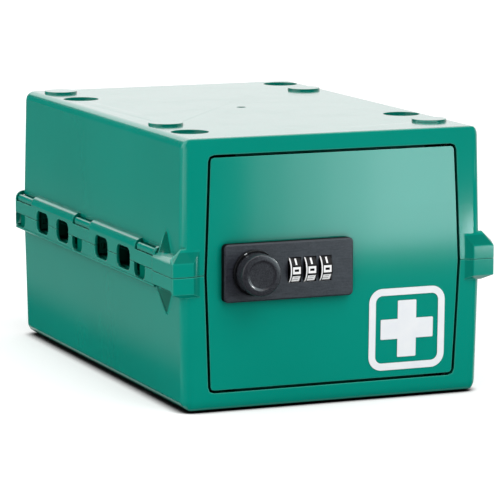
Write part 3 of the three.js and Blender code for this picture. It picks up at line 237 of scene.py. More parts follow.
world = bpy.data.worlds.new("white_studio")
bpy.context.scene.world = world
world.use_nodes = True
world.node_tree.nodes.clear()
camera_ray, glossy_ray, clear_ray = (
    add_node(world.node_tree, "ShaderNodeLightPath", output=kind)
    for kind in ("Is Camera Ray", "Is Glossy Ray", "Is Transmission Ray"))
seen = (camera_ray + glossy_ray + clear_ray).at_most(1.0)
sky = add_node(world.node_tree, "ShaderNodeBackground",
               inputs={"Color": WHITE, "Strength": seen * (1 - SKY_LEVEL) + SKY_LEVEL})
add_node(world.node_tree, "ShaderNodeOutputWorld", inputs={"Surface": sky})
print("sky level on the box:", SKY_LEVEL)

# %% [markdown]
# The table is one large sheet that runs out to the white horizon. It keeps the box's own soft
# shadow. Its glow, for the camera alone, lifts it to the white of the background. Where the table
# is closed in, the glow fades and the paint darkens to a painted contact shadow, so that the thin gap
# under the box stays nearly black, as it is between a real box and its table.

# %% Table
TABLE_REACH = 25
TABLE_TONE = (0.75, 0.75, 0.75, 1)
CONTACT_SHADOW_TONE = (0.01, 0.012, 0.012, 1)
CONTACT_REACH = 10 * MM
CONTACT_CLOSED, CONTACT_OPEN = 0.3, 0.8
CONTACT_SAMPLES = 16
TABLE_GLOW = 0.38


def stage_card(name, corners, material):
    mesh = bpy.data.meshes.new(name)
    sheet = bmesh.new()
    sheet.faces.new([sheet.verts.new(corner) for corner in corners])
    sheet.to_mesh(mesh)
    sheet.free()
    card = bpy.data.objects.new(name, mesh)
    bpy.context.scene.collection.objects.link(card)
    mesh.materials.append(material)
    return card


table_paint = Finish("table_paint")
# Painted contact shadow: the table paint darkens where the box closes it in.
table_open = table_paint.openness(CONTACT_REACH, CONTACT_SAMPLES).between(CONTACT_CLOSED, CONTACT_OPEN)
for_camera = table_paint.node("ShaderNodeLightPath", output="Is Camera Ray")
paint = table_paint.node("ShaderNodeBsdfDiffuse",
                         inputs={"Color": table_paint.mix(table_open, CONTACT_SHADOW_TONE, TABLE_TONE)})
glow = table_paint.node("ShaderNodeEmission",
                        inputs={"Color": WHITE, "Strength": for_camera * table_open * TABLE_GLOW})
table_paint.done(table_paint.node("ShaderNodeAddShader", inputs={0: paint, 1: glow}))
stage_card("table", [(-TABLE_REACH, -TABLE_REACH, 0), (TABLE_REACH, -TABLE_REACH, 0),
                     (TABLE_REACH, TABLE_REACH, 0), (-TABLE_REACH, TABLE_REACH, 0)],
           table_paint.material)

# %% [markdown]
# A glossy box shows whatever stands in front of it. A photographer hangs black cards beside the
# camera, so that a glossy front keeps its own deep colour, and lays one on the table before the box.
# Here the cards are seen by glossy rays alone: they darken reflections, but throw no shadow and
# hide nothing. They are not lit, but glow at their own faint level. The card beside the left wall
# glows paler close to the box and fades further out: seen in that wall, its glow is a painted
# reflection that gives the wall its slow change from foot to top. A fourth card, far behind at the
# left, keeps the white horizon out of that wall.

# %% Black and grey cards
CARD_BLACK = (0.005, 0.005, 0.005, 1)
CARD_DARK = (0.01, 0.01, 0.01, 1)
CARD_PALE = (0.15, 0.15, 0.15, 1)
PALE_STARTS, PALE_FULL, PALE_FADES, PALE_FAINT = -0.135, -0.172, -0.18, -0.45
FADE = 0.7
CARD_LIFT = 1.5 * MM
BOX_LEFT, BOX_FRONT = -102.5 * MM, -144.5 * MM
CARD_ROW = -2.6


def glowing_paint(name, colour, finish=None):
    finish = finish or Finish(name)
    return finish.done(finish.node("ShaderNodeEmission", inputs={"Color": colour}))


def upright_card(name, left, right, y, top, material):
    return stage_card(name, [(left, y, 0), (right, y, 0), (right, y, top), (left, y, top)], material)


def lying_card(name, left, right, front, back, material):
    return stage_card(name, [(left, front, CARD_LIFT), (right, front, CARD_LIFT),
                             (right, back, CARD_LIFT), (left, back, CARD_LIFT)], material)


black_card = glowing_paint("black_card", CARD_BLACK)
# Painted reflection: this card glows paler beside the left wall and fades further out.
grey = Finish("grey_card")
left_of_box = grey.axes()[0]
pale = (left_of_box.between(PALE_STARTS, PALE_FULL)
        * (1 - left_of_box.between(PALE_FADES, PALE_FAINT) * FADE))
grey_card = glowing_paint("grey_card", grey.mix(pale, CARD_DARK, CARD_PALE), grey)
cards = [
    upright_card("front_card", left=-3, right=4, y=CARD_ROW, top=3, material=black_card),
    lying_card("table_card", left=-1.2, right=4, front=CARD_ROW, back=BOX_FRONT, material=black_card),
    upright_card("rear_left_card", left=-8, right=-0.6, y=4, top=2.6, material=black_card),
    lying_card("side_card", left=-4, right=BOX_LEFT, front=BOX_FRONT, back=5, material=grey_card),
]
for card in cards:
    card.visible_camera = card.visible_diffuse = card.visible_shadow = card.visible_transmission = False
print("cards:", [card.name for card in cards])

# %% [markdown]
# The lamps are plain: one wide sun for the soft shadow, one fill for the left wall, and a soft box
# whose mirror image is the pale sheen on the door. It is made of panels side by side, dimmer
# towards the left, so that the sheen fades there. A soft box that far out would also light the
# frame and the lock, which the photograph doesn't show, so light linking gives each small lamp only
# the pieces that it is meant for. Those collections are filled when the pieces are made.

# %% Lamps
COOL = (0.8, 0.96, 1.0)
PLAIN = (1.0, 1.0, 1.0)


def add_lamp(name, kind, place, target, energy, **settings):
    data = bpy.data.lights.new(name, kind)
    data.energy = energy
    for setting, value in settings.items():
        setattr(data, setting, value)
    lamp = bpy.data.objects.new(name, data)
    bpy.context.scene.collection.objects.link(lamp)
    turn = (Vector(target) - Vector(place)).to_track_quat("-Z", "Y")
    lamp.matrix_world = Matrix.Translation(place) @ turn.to_matrix().to_4x4()
    lamp.visible_camera = False
    return lamp


def soft_lamp(name, place, target, energy, width, height,
              colour=PLAIN, mirrored=True, lighting=True, receivers=None):
    lamp = add_lamp(name, "AREA", place, target, energy,
                    shape="RECTANGLE", size=width, size_y=height, color=colour)
    lamp.visible_glossy = mirrored
    lamp.visible_diffuse = lighting
    lamp.light_linking.receiver_collection = receivers
    return lamp


door_faces, shell_faces, knob_faces = (
    bpy.data.collections.new(name) for name in ("door_faces", "shell_faces", "knob_faces"))
LAMP_ROW = -0.55
SHEEN_MIDDLE, SHEEN_HEIGHT = 0.2525, 0.435
SHEEN_EDGES = [0.111, 0.142, 0.174, 0.21, 0.63]
SHEEN_RADIANCE = [4.9, 8.8, 13.2, 18.2]
SUN_ANGLE = radians(40)


def facing_lamp(name, x, z, energy, **settings):
    return soft_lamp(name, (x, LAMP_ROW, z), (x, 0, z), energy, colour=COOL, **settings)


def sheen_lamp(name, left, right, energy, **kind):
    return facing_lamp(name, (left + right) / 2, SHEEN_MIDDLE, energy, width=right - left,
                       height=SHEEN_HEIGHT, receivers=door_faces, **kind)


add_lamp("key_sun", "SUN", (0.5, -1.6, 2.4), (0, 0, 0), energy=1.1, angle=SUN_ANGLE)
soft_lamp("side_fill", (-2.6, 0.9, 0.7), (-0.1, 0, 0.08), energy=33, width=2, height=1,
          mirrored=False)
for left, right, radiance in zip(SHEEN_EDGES, SHEEN_EDGES[1:], SHEEN_RADIANCE):
    sheen_lamp("door_soft_box", left, right, radiance * (right - left) * SHEEN_HEIGHT, lighting=False)
sheen_lamp("door_glow", left=0.15, right=0.63, energy=0.35, mirrored=False)
facing_lamp("lug_light", x=0.3115, z=0.0445, energy=0.08, width=0.037, height=0.035,
            lighting=False, receivers=shell_faces)
facing_lamp("edge_light", x=0.42, z=0.0415, energy=0.33, width=0.12, height=0.073,
            lighting=False, receivers=shell_faces)
soft_lamp("knob_light", (0.55, -0.37, 0.34), (-0.056, -0.16, 0.0865), energy=2.4,
          width=0.15, height=0.15, lighting=False, receivers=knob_faces)

# %% [markdown]
# Both halves of the box are moulded in one clear, deep green, with a hard gloss over it. The gloss
# is the coat of the shader; a slow drift in the green, an uneven polish from hands and a very fine
# orange peel keep it from looking like glass. Edges get a painted highlight of paler green. Corners
# get painted shade of darker green, as the light that falls into them is green by the time it comes
# out, and in the deepest crevices a matt, dark painted shade takes over from the gloss. The faces
# that look to the front have the gloss of the coat alone: a second, rougher layer below it would
# catch the white studio beside the cards and turn the deep green grey.

# %% Green values
SHELL_GREEN = (0.0, 0.285, 0.215, 1)
SHELL_GREEN_DEEP = (0.0, 0.262, 0.196, 1)
# Painted highlight: the paler green of open edges.
EDGE_HIGHLIGHT_GREEN = (0.1, 0.55, 0.42, 1)
# Painted shade: the corner, crevice, reveal, lug and pocket colours below.
CORNER_SHADE_GREEN = (0.0, 0.085, 0.058, 1)
CREVICE_SHADE_GREEN = (0.0, 0.03, 0.022, 1)
REVEAL_SHADE_GREEN = (0.0, 0.11, 0.075, 1)
LUG_SHADE_GREEN = (0.0, 0.12, 0.083, 1)
POCKET_SHADE = (0.0, 0.006, 0.004, 1)
SHELL_EDGE_SOFTNESS = 1.4 * MM
DOOR_EDGE_SOFTNESS = 0.9 * MM
PLASTIC_IOR = 1.5
COAT_ROUGHNESS = 0.12
BODY_ROUGHNESS, HANDLED_ROUGHER = 0.2, 0.05
DRIFT_SIZE, HANDLING_SIZE = 120 * MM, 35 * MM
PEEL_SIZE, PEEL_DEPTH, PEEL_STRENGTH = 1.6 * MM, 0.02 * MM, 0.5
DRIFT_RANGE, HANDLING_RANGE = (0.3, 0.7), (0.45, 0.75)
CORNER_REACH = 12 * MM
DEEP_SHADE_RANGE, CREVICE_RANGE = (0.6, 0.12), (0.1, 0.5)
OPEN_EDGE_RANGE, CORNER_RANGE = (0.5, 0.8), (0.25, 0.85)
EDGE_HIGHLIGHT_STRENGTH = 0.7
MIDDLE = 85.5 * MM
print("parting line at height", MIDDLE)

# %% [markdown]
# Some places on the halves are in deep shade in the photograph whatever stands around the box: the
# window reveals and pockets of the snap rails, and the fins and top slopes of the front lugs. The
# shader finds them by their place on the piece, with soft borders. They could be painted with an
# image, but a few ranges in metres say the same and stay sharp at any size.

# %% Shaded places of the halves
PAIR_MIDDLE = 23.55 * MM
PAIR_SPREAD = 58.5 * MM
POCKET_HALF_LENGTH = 38.6 * MM
POCKET_HALF_HEIGHT = 7.2 * MM
REVEAL_HALF_HEIGHT = 8.8 * MM
RAIL_REAR, RAIL_FRONT = 157 * MM, -110.5 * MM
REVEAL_RANGE = (101.2 * MM, 105.2 * MM)
POCKET_RANGE = (94.8 * MM, 101.3 * MM)
FIN_RANGE = (101.9 * MM, 107.6 * MM)
FIN_FRONT, FIN_REAR = -140 * MM, -117 * MM
FIN_MIDDLE = MIDDLE + 1.2 * MM
FIN_FOOT, FIN_TOP = 11.2 * MM, 32 * MM
LUG_INNER, LUG_OUTER = 85 * MM, 107.6 * MM
SLOPE_SHADE = 0.5
SLOPE_FRONT, SLOPE_REAR = -145.85 * MM, -143.5 * MM
LUG_HALF_HEIGHT = 21 * MM
CRISP, FIRM, SOFT, SOFTER = 0.2 * MM, 0.3 * MM, 0.4 * MM, 0.5 * MM
REVEAL_BLUR = 1.2 * MM
BELOW_ZERO = -1


def shaded_places(finish):
    across, along, up = finish.axes()
    out = abs(across)
    off_middle = abs(up - MIDDLE)
    on_rail = (off_middle.inside(BELOW_ZERO, REVEAL_HALF_HEIGHT, SOFT)
               * along.inside(RAIL_FRONT, RAIL_REAR, SOFTER))
    reveal = out.inside(*REVEAL_RANGE, REVEAL_BLUR) * on_rail
    off_pair = abs(abs(along - PAIR_MIDDLE) - PAIR_SPREAD)
    pocket = (out.inside(*POCKET_RANGE, CRISP) * off_pair.inside(BELOW_ZERO, POCKET_HALF_LENGTH, CRISP)
              * off_middle.inside(BELOW_ZERO, POCKET_HALF_HEIGHT, CRISP))
    fin = (out.inside(*FIN_RANGE, FIRM) * abs(up - FIN_MIDDLE).inside(FIN_FOOT, FIN_TOP, SOFTER)
           * along.inside(FIN_FRONT, FIN_REAR, SOFT))
    slope = (out.inside(LUG_INNER, LUG_OUTER, FIRM)
             * off_middle.inside(BELOW_ZERO, LUG_HALF_HEIGHT, SOFTER)
             * along.inside(SLOPE_FRONT, SLOPE_REAR, CRISP))
    return reveal, pocket, (fin + slope * SLOPE_SHADE).at_most(1.0)


# %% Green plastic
def gloss_green(name, edge_softness, with_rails=False):
    finish = Finish(name)
    drift = finish.noise(DRIFT_SIZE, detail=3)
    rounded, pale_edge = finish.edges(edge_softness)
    openness = finish.openness(CORNER_REACH)
    colour = finish.mix(drift.between(*DRIFT_RANGE), SHELL_GREEN_DEEP, SHELL_GREEN)
    # Painted shade: where the plastic is closed in, a matt dark layer takes over from the gloss.
    deep_shade_mask = openness.between(*DEEP_SHADE_RANGE)
    shade = finish.mix(openness.between(*CREVICE_RANGE), CREVICE_SHADE_GREEN, CORNER_SHADE_GREEN)
    if with_rails:
        # Painted shade in the rail reveals and pockets, and on the lug fins and slopes.
        reveal, pocket, lug_shade = shaded_places(finish)
        colour = finish.mix(lug_shade, colour, LUG_SHADE_GREEN)
        deep_shade_mask = (deep_shade_mask + reveal + pocket).at_most(1.0)
        shade = finish.mix(pocket, finish.mix(reveal, shade, REVEAL_SHADE_GREEN), POCKET_SHADE)
    # Painted highlight: open edges of the green plastic turn paler.
    open_edge = openness.between(*OPEN_EDGE_RANGE)
    colour = finish.mix(pale_edge * open_edge * EDGE_HIGHLIGHT_STRENGTH, colour, EDGE_HIGHLIGHT_GREEN)
    # Painted shade: corners turn darker green.
    colour = finish.mix(openness.between(*CORNER_RANGE), CORNER_SHADE_GREEN, colour)
    handling = finish.noise(HANDLING_SIZE, detail=5, roughness=0.65).between(*HANDLING_RANGE)
    orange_peel = finish.bump(finish.noise(PEEL_SIZE), PEEL_DEPTH, PEEL_STRENGTH, rounded)
    plastic = {"Base_Color": colour, "Roughness": handling * HANDLED_ROUGHER + BODY_ROUGHNESS,
               "IOR": PLASTIC_IOR, "Normal": orange_peel, "Coat_Weight": 1.0,
               "Coat_Roughness": COAT_ROUGHNESS, "Coat_IOR": PLASTIC_IOR}
    double = finish.shader(**plastic)
    single = finish.shader(Specular_IOR_Level=NO_GLOSS, **plastic)
    glossy = finish.node("ShaderNodeMixShader", inputs={0: finish.faces_front(), 1: double, 2: single})
    painted_shade_layer = finish.shader(Base_Color=shade, Roughness=1.0, Specular_IOR_Level=NO_GLOSS)
    return finish.done(finish.node("ShaderNodeMixShader", inputs={0: deep_shade_mask, 1: glossy, 2: painted_shade_layer}))


shell_plastic = gloss_green("shell_plastic", SHELL_EDGE_SOFTNESS, with_rails=True)
door_plastic = gloss_green("door_plastic", DOOR_EDGE_SOFTNESS)

# %% [markdown]
# The lock is a zinc casting with a black powder coat: fine grain, faintly brushed on the face,
# rubbed grey along the edges. The knob has the same coat worn smooth by fingers, its collar and the
# number wheels are plain black plastic. One function with a few values makes the whole family, so
# that the five blacks differ in sheen and grain, as the real ones do, and not in kind. One of them,
# for the sides of the face plate, is near-black painted shade.

# %% Blacks of the lock
LOCK_EDGE_SOFTNESS = 0.4 * MM
EDGE_WEAR, GRAIN_ROUGHER, GRAIN_STRENGTH = 0.5, 0.2, 0.7
GRAIN_RANGE = (0.35, 0.65)


def satin_black(name, dark, light, rubbed_tone, roughness, grain_size, grain_depth, streak=1, shine=0.5):
    finish = Finish(name)
    rounded, pale_edge = finish.edges(LOCK_EDGE_SOFTNESS)
    grain = finish.noise(grain_size, detail=3)
    brushed = finish.noise(grain_size, detail=3, stretch=(streak, 1, 1))
    tone = (grain + brushed) * 0.5
    coat = finish.mix(tone.between(*GRAIN_RANGE), dark, light)
    colour = finish.mix(pale_edge * EDGE_WEAR, coat, rubbed_tone)
    return finish.done(finish.shader(
        Base_Color=colour, Roughness=tone * GRAIN_ROUGHER + roughness, Specular_IOR_Level=shine,
        Normal=finish.bump(tone, grain_depth, GRAIN_STRENGTH, rounded)))


PITCH_BLACK, SOFT_BLACK = (0.003, 0.003, 0.004, 1), (0.007, 0.007, 0.009, 1)
lock_coat = satin_black(
    "lock_coat", dark=(0.010, 0.012, 0.02, 1), light=(0.034, 0.038, 0.052, 1),
    rubbed_tone=(0.12, 0.12, 0.14, 1), roughness=0.36, grain_size=0.8 * MM, grain_depth=0.12 * MM, streak=0.15)
# Painted shade: the plate's sides are near-black with little gloss.
lock_side_shade = satin_black(
    "lock_side_shade", dark=PITCH_BLACK, light=SOFT_BLACK, rubbed_tone=(0.05, 0.05, 0.06, 1),
    roughness=0.5, grain_size=0.8 * MM, grain_depth=0.08 * MM, shine=0.08)
collar_plastic = satin_black(
    "collar_plastic", dark=PITCH_BLACK, light=SOFT_BLACK, rubbed_tone=(0.1, 0.1, 0.11, 1),
    roughness=0.2, grain_size=0.8 * MM, grain_depth=0.04 * MM, shine=0.35)
knob_coat = satin_black(
    "knob_coat", dark=(0.016, 0.017, 0.022, 1), light=(0.036, 0.037, 0.045, 1),
    rubbed_tone=(0.16, 0.16, 0.18, 1), roughness=0.12, grain_size=0.6 * MM, grain_depth=0.04 * MM)
wheel_plastic = satin_black(
    "wheel_plastic", dark=PITCH_BLACK, light=(0.006, 0.006, 0.007, 1),
    rubbed_tone=(0.03, 0.03, 0.03, 1), roughness=0.35, grain_size=1.0 * MM, grain_depth=0.01 * MM, shine=0.2)

# %% [markdown]
# The digits are filled with white paint, which is a little thin in places. The sign is a white film
# on the door: it is matt, with a slow unevenness and a fine tooth. Both whites stay just under full
# white, so that the light still shapes them.

# %% Whites
DIGIT_THIN, DIGIT_FULL = (0.93, 0.94, 0.95, 1), (1.0, 1.0, 1.0, 1)
FILM_GREY, FILM_WHITE = (0.87, 0.90, 0.94, 1), (0.92, 0.94, 0.96, 1)
PAINT_ROUGHNESS, THIN_SPOT_SIZE = 0.4, 0.8 * MM
FILM_ROUGHNESS, UNEVEN_ROUGHER, UNEVEN_SIZE = 0.35, 0.1, 10 * MM
TOOTH_SIZE, TOOTH_DEPTH, TOOTH_STRENGTH = 0.8 * MM, 0.02 * MM, 0.3

paint_finish = Finish("digit_paint")
thin_spots = paint_finish.noise(THIN_SPOT_SIZE, detail=3).between(0.3, 0.6)
digit_paint = paint_finish.done(paint_finish.shader(
    Base_Color=paint_finish.mix(thin_spots, DIGIT_THIN, DIGIT_FULL), Roughness=PAINT_ROUGHNESS))

film_finish = Finish("sign_film")
uneven = film_finish.noise(UNEVEN_SIZE, detail=4).between(0.3, 0.7)
tooth = film_finish.noise(TOOTH_SIZE)
sign_film = film_finish.done(film_finish.shader(
    Base_Color=film_finish.mix(uneven, FILM_GREY, FILM_WHITE),
    Roughness=uneven * UNEVEN_ROUGHER + FILM_ROUGHNESS,
    Normal=film_finish.bump(tooth, TOOTH_DEPTH, TOOTH_STRENGTH)))

# %% [markdown]
# The cam with its nut and washer, the screws, the spindle, and the axle, sleeves, fence and leaf
# spring inside the lock are zinc-plated steel. Plate is brushed along one way and stained in soft
# clouds. Where the steel is closed in, the shader paints shade over the plate, down to near black.
# The hinge pins get the same plate, but they stand in narrow bores: there the painted shade starts
# sooner, or the pins would glint through the gap.

# %% Plated steel
PLATE_DULL, PLATE_BRIGHT = (0.52, 0.52, 0.54, 1), (0.66, 0.66, 0.67, 1)
DEEP_SHADE = (0.004, 0.004, 0.004, 1)
PLATE_ROUGHNESS, STAIN_ROUGHER, STAIN_SIZE = 0.26, 0.12, 6 * MM
BRUSH_SIZE, BRUSH_STRETCH, BRUSH_DEPTH, BRUSH_STRENGTH = 0.6 * MM, (1, 1, 12), 0.03 * MM, 0.4
BORE_REACH = 10 * MM


def plated_steel(name, closed, open_level):
    finish = Finish(name)
    brushed = finish.noise(BRUSH_SIZE, detail=3, stretch=BRUSH_STRETCH)
    stain = finish.noise(STAIN_SIZE, detail=4).between(0.3, 0.75)
    plate = finish.mix(stain, PLATE_DULL, PLATE_BRIGHT)
    # Painted shade: closed-in places darken towards DEEP_SHADE.
    lit = finish.openness(BORE_REACH).between(closed, open_level)
    return finish.done(finish.shader(
        Base_Color=finish.mix(lit, DEEP_SHADE, plate), Metallic=1.0,
        Roughness=stain * STAIN_ROUGHER + PLATE_ROUGHNESS,
        Normal=finish.bump(brushed, BRUSH_DEPTH, BRUSH_STRENGTH)))


bright_steel = plated_steel("bright_steel", closed=0.05, open_level=0.45)
bore_shaded_steel = plated_steel("bore_shaded_steel", closed=0.5, open_level=0.95)

# %% [markdown]
# Most CAD pieces already have the right shape. A CAD mesh is loose triangles, so a copy of it is
# merged and its flat faces are joined, and the copy stands for the node. Smooth shading then needs
# help: without it the roundings would bend the light on the large flat faces beside them. Weighted
# normals let the largest face at a corner decide. Their threshold is an area, which has to be tiny
# for an object this size, and edges steeper than the sharp angle keep their crease.

# %% Dress the CAD pieces
FINISHES = {
    "shell_green": shell_plastic, "door_green": door_plastic, "lock_black": lock_coat,
    "knob_black": knob_coat, "wheel_black": wheel_plastic, "sign_white": sign_film,
    "pin_steel": bright_steel,
}
SHARP_EDGE = 33
SHELL_SHARP_EDGE = 22.9
MERGE = 1e-6
FLAT_ENOUGH = radians(0.6)
LARGEST_FACE_WINS = 100
SAME_AREA = 20 * MM * MM


def place_piece(name, work, slot, body, sharp=SHARP_EDGE, material=None):
    mesh = bpy.data.meshes.new(name)
    work.to_mesh(mesh)
    work.free()
    piece = bpy.data.objects.new(name, mesh)
    bpy.context.scene.collection.objects.link(piece)
    mesh.materials.append(material or FINISHES[slot])
    mesh.shade_smooth()
    mesh.set_sharp_from_angle(angle=radians(sharp))
    steady = piece.modifiers.new("steady_normals", "WEIGHTED_NORMAL")
    steady.keep_sharp = True
    steady.weight = LARGEST_FACE_WINS
    steady.thresh = SAME_AREA
    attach(piece, body)
    return piece


def dressed(node_name, sharp, material=None):
    source = frame["nodes"][node_name]
    work = bmesh.new()
    work.from_mesh(source.data)
    bmesh.ops.remove_doubles(work, verts=work.verts, dist=MERGE)
    bmesh.ops.dissolve_limit(work, angle_limit=FLAT_ENOUGH, verts=work.verts, edges=work.edges)
    piece = place_piece(node_name + "_skin", work, source.data.materials[0].name, source["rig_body"],
                        sharp, material)
    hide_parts(node_name)
    return piece


NEW_SHAPES = ["knob_cap", "knob_skirt", "sign_border", "sign_cross"]
skins = {node_name: dressed(node_name, SHELL_SHARP_EDGE if "shell" in node_name else SHARP_EDGE,
                            bore_shaded_steel if "hinge_pin" in node_name else None)
         for node_name in frame["nodes"] if node_name not in NEW_SHAPES}
print("dressed CAD pieces:", len(skins))

# %% [markdown]
# The face plate of the lock has a brushed front, and sides painted near-black with little gloss, as
# shade. One mesh can carry both: the second material goes to the faces that don't look along Y. The
# skins then go to the collections of the lamps that are meant for them.

# %% Plate sides and lamp collections
SIDEWAYS = 0.5

plate = skins["lock_face_plate"].data
plate.materials.append(lock_side_shade)
for face in plate.polygons:
    if abs(face.normal.y) < SIDEWAYS:
        face.material_index = 1
for node_name in ("door_panel", "lock_face_plate"):
    door_faces.objects.link(skins[node_name])
for node_name in ("upper_shell", "lower_shell"):
    shell_faces.objects.link(skins[node_name])
print("side faces of the plate:", sum(face.material_index for face in plate.polygons))

# %% [markdown]
# The knob is a turned cap with a shallow dish in its face and a softly rounded rim, on a thin
# collar. The CAD solids are plain discs, so both get a finer shape here. A lathe does this on the
# bench, and Blender's spin does it here: half a profile, as pairs of radius and depth, goes once
# round the axis, and use_merge closes the seam. The poles are merged and the normals set outwards.

# %% Turned pieces
FULL_TURN = 2 * pi
KNOB_STEPS = 72


def turned(name, profile, foot, axis, radial, slot, body, material, steps=KNOB_STEPS):
    work = bmesh.new()
    points = [work.verts.new(foot + radial * (radius * MM) + axis * (depth * MM))
              for radius, depth in profile]
    edges = [work.edges.new(pair) for pair in zip(points, points[1:])]
    bmesh.ops.spin(work, geom=points + edges, cent=foot, axis=axis, angle=FULL_TURN, steps=steps,
                   use_merge=True, use_duplicate=False)
    bmesh.ops.remove_doubles(work, verts=work.verts, dist=MERGE)
    bmesh.ops.recalc_face_normals(work, faces=work.faces)
    piece = place_piece(name, work, slot, body, material=material)
    print(name, "faces:", len(piece.data.polygons))
    return piece


# %% Knob and collar
KNOB_FOOT = Vector((-56, 0, 86.5)) * MM
INTO_BOX, ACROSS, UP = Vector((0, 1, 0)), Vector((1, 0, 0)), Vector((0, 0, 1))
CAP_PROFILE = [
    (0, -161.1), (7.7, -161.1), (8.3, -161.15), (8.7, -161.35), (9.0, -161.6), (9.3, -161.72),
    (9.7, -161.75), (11.8, -161.7), (12.3, -161.52), (12.7, -161.18), (12.92, -160.7), (13.0, -160.1),
    (13.0, -152.1), (12.9, -151.75), (12.6, -151.5), (12.2, -151.45), (4.3, -151.45), (4.3, -158.0),
    (0, -158.0)]
COLLAR_PROFILE = [
    (4.3, -151.15), (13.6, -151.15), (13.9, -151.08), (14.1, -150.9), (14.2, -150.6), (14.2, -148.8),
    (14.1, -148.6), (13.9, -148.55), (4.3, -148.55), (4.3, -151.15)]

knob = turned("turned_knob", CAP_PROFILE, KNOB_FOOT, INTO_BOX, ACROSS, "knob_black", "knob", knob_coat)
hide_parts("knob_cap")
collar = turned("knob_collar", COLLAR_PROFILE, KNOB_FOOT, INTO_BOX, ACROSS, "lock_black", "knob",
                collar_plastic)
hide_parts("knob_skirt")
knob_faces.objects.link(knob)
door_faces.objects.link(knob)

# %% [markdown]
# Each number wheel has ten flats, and each flat carries a white digit from 0 to 9, so every wheel
# shows a whole ring of numbers as it turns. A font could draw them, but moulded wheel digits are
# built from square strokes. So a digit is a small grid of three by five cells: the grid comes from
# create_grid, its lines are moved to the widths of the strokes, the empty cells are deleted, and
# the rest is extruded to a thin layer of paint.

# %% Digit shapes
DIGIT_WIDE, DIGIT_TALL = 5.2, 4.4
STROKE_ACROSS, STROKE_DOWN = 1.15, 1.2
ZERO_ROWS = [2.2, 0.75, 0.25, -0.25, -0.75, -2.2]
DIGIT_ROWS = {
    0: ("###", "#.#", "#.#", "#.#", "###"), 1: (".#.", ".#.", ".#.", ".#.", ".#."),
    2: ("###", "..#", "###", "#..", "###"), 3: ("###", "..#", "###", "..#", "###"),
    4: ("#.#", "#.#", "###", "..#", "..#"), 5: ("###", "#..", "###", "..#", "###"),
    6: ("###", "#..", "###", "#.#", "###"), 7: ("###", "..#", "..#", "..#", "..#"),
    8: ("###", "#.#", "###", "#.#", "###"), 9: ("###", "#.#", "###", "..#", "###"),
}


def grid_lines(digit):
    side, stem = DIGIT_WIDE / 2, STROKE_ACROSS
    xs = [-side, -stem / 2, stem / 2, side] if digit == 1 else [-side, stem - side, side - stem, side]
    if digit == 0:
        return xs, ZERO_ROWS
    gap = (DIGIT_TALL - 3 * STROKE_DOWN) / 2
    zs = [DIGIT_TALL / 2]
    for step in (STROKE_DOWN, gap, STROKE_DOWN, gap, STROKE_DOWN):
        zs.append(zs[-1] - step)
    return xs, zs


print("digit height in millimetres:", DIGIT_TALL)

# %% Paint one digit
WHEEL_AXIS = Vector((0, -142.25, 86.5)) * MM
WHEEL_FLAT = 9.4 * cos(radians(18))
DIGIT_OFFSET = 0.45
PAINT = 0.05
FLAT_TURN = 36


def moved_vertices(result):
    return [item for item in result["geom"] if isinstance(item, bmesh.types.BMVert)]


def paint_digit(work, digit, wheel_x):
    xs, zs = grid_lines(digit)
    grid = bmesh.ops.create_grid(work, x_segments=3, y_segments=5, size=1)["verts"]
    columns = sorted({round(v.co.x, 4) for v in grid})
    rows = sorted({round(v.co.y, 4) for v in grid}, reverse=True)
    for v in grid:
        v.co = Vector((xs[columns.index(round(v.co.x, 4))], 0, zs[rows.index(round(v.co.y, 4))]))
    cells = {face for v in grid for face in v.link_faces}
    empty = []
    for cell in cells:
        middle = cell.calc_center_median()
        column = sum(middle.x > x for x in xs[1:3])
        row = sum(middle.z < z for z in zs[1:5])
        if DIGIT_ROWS[digit][row][column] == ".":
            empty.append(cell)
    bmesh.ops.delete(work, geom=empty, context="FACES")
    layer = bmesh.ops.extrude_face_region(work, geom=[cell for cell in cells if cell.is_valid])
    bmesh.ops.translate(work, vec=(0, -2 * PAINT, 0), verts=moved_vertices(layer))
    bmesh.ops.delete(work, geom=[v for v in grid if v.is_valid and not v.link_faces], context="VERTS")
    fresh = [v for v in work.verts if not v.tag]
    onto_flat = (Matrix.Translation((wheel_x, WHEEL_AXIS.y, WHEEL_AXIS.z))
                 @ Matrix.Rotation(-radians(FLAT_TURN * digit), 4, "X") @ Matrix.Diagonal((MM, MM, MM, 1))
                 @ Matrix.Translation((DIGIT_OFFSET, PAINT - WHEEL_FLAT, 0)))
    bmesh.ops.transform(work, matrix=onto_flat, verts=fresh)
    for v in fresh:
        v.tag = True


# %% Digits and edge line of every wheel
WHEEL_XS = (-29.1 * MM, -18.8 * MM, -8.5 * MM)
WHEEL_HALF_WIDTH = 3.8 * MM
LINE_PROFILE = [(9.3, 0.08), (9.44, 0.08), (9.44, 0.86), (9.3, 0.86), (9.3, 0.08)]
LINE_STEPS = 48

for number, wheel_x in enumerate(WHEEL_XS, 1):
    work = bmesh.new()
    for digit in range(10):
        paint_digit(work, digit, wheel_x)
    bmesh.ops.recalc_face_normals(work, faces=work.faces)
    digits = place_piece(f"wheel_digits_{number}", work, "sign_white", f"wheel_{number}",
                         material=digit_paint)
    # Each wheel also gets a thin white ring on its left rim, in the white of the digits.
    line_foot = Vector((wheel_x - WHEEL_HALF_WIDTH, WHEEL_AXIS.y, WHEEL_AXIS.z))
    turned(f"wheel_line_{number}", LINE_PROFILE, line_foot, ACROSS, UP, "sign_white", f"wheel_{number}",
           digit_paint, LINE_STEPS)
    print(digits.name, "faces:", len(digits.data.polygons))

# %% [markdown]
# The sign is a cut film: a rounded square border and a plain cross inside it. The door is bowed a
# little outwards, so the film can't be flat. Each shape is drawn flat in the plane of the door, cut
# into thin bands with bisect_plane so that it can bend, given its thickness by extruding, and then
# every point is moved back by the bow of the door at its height.

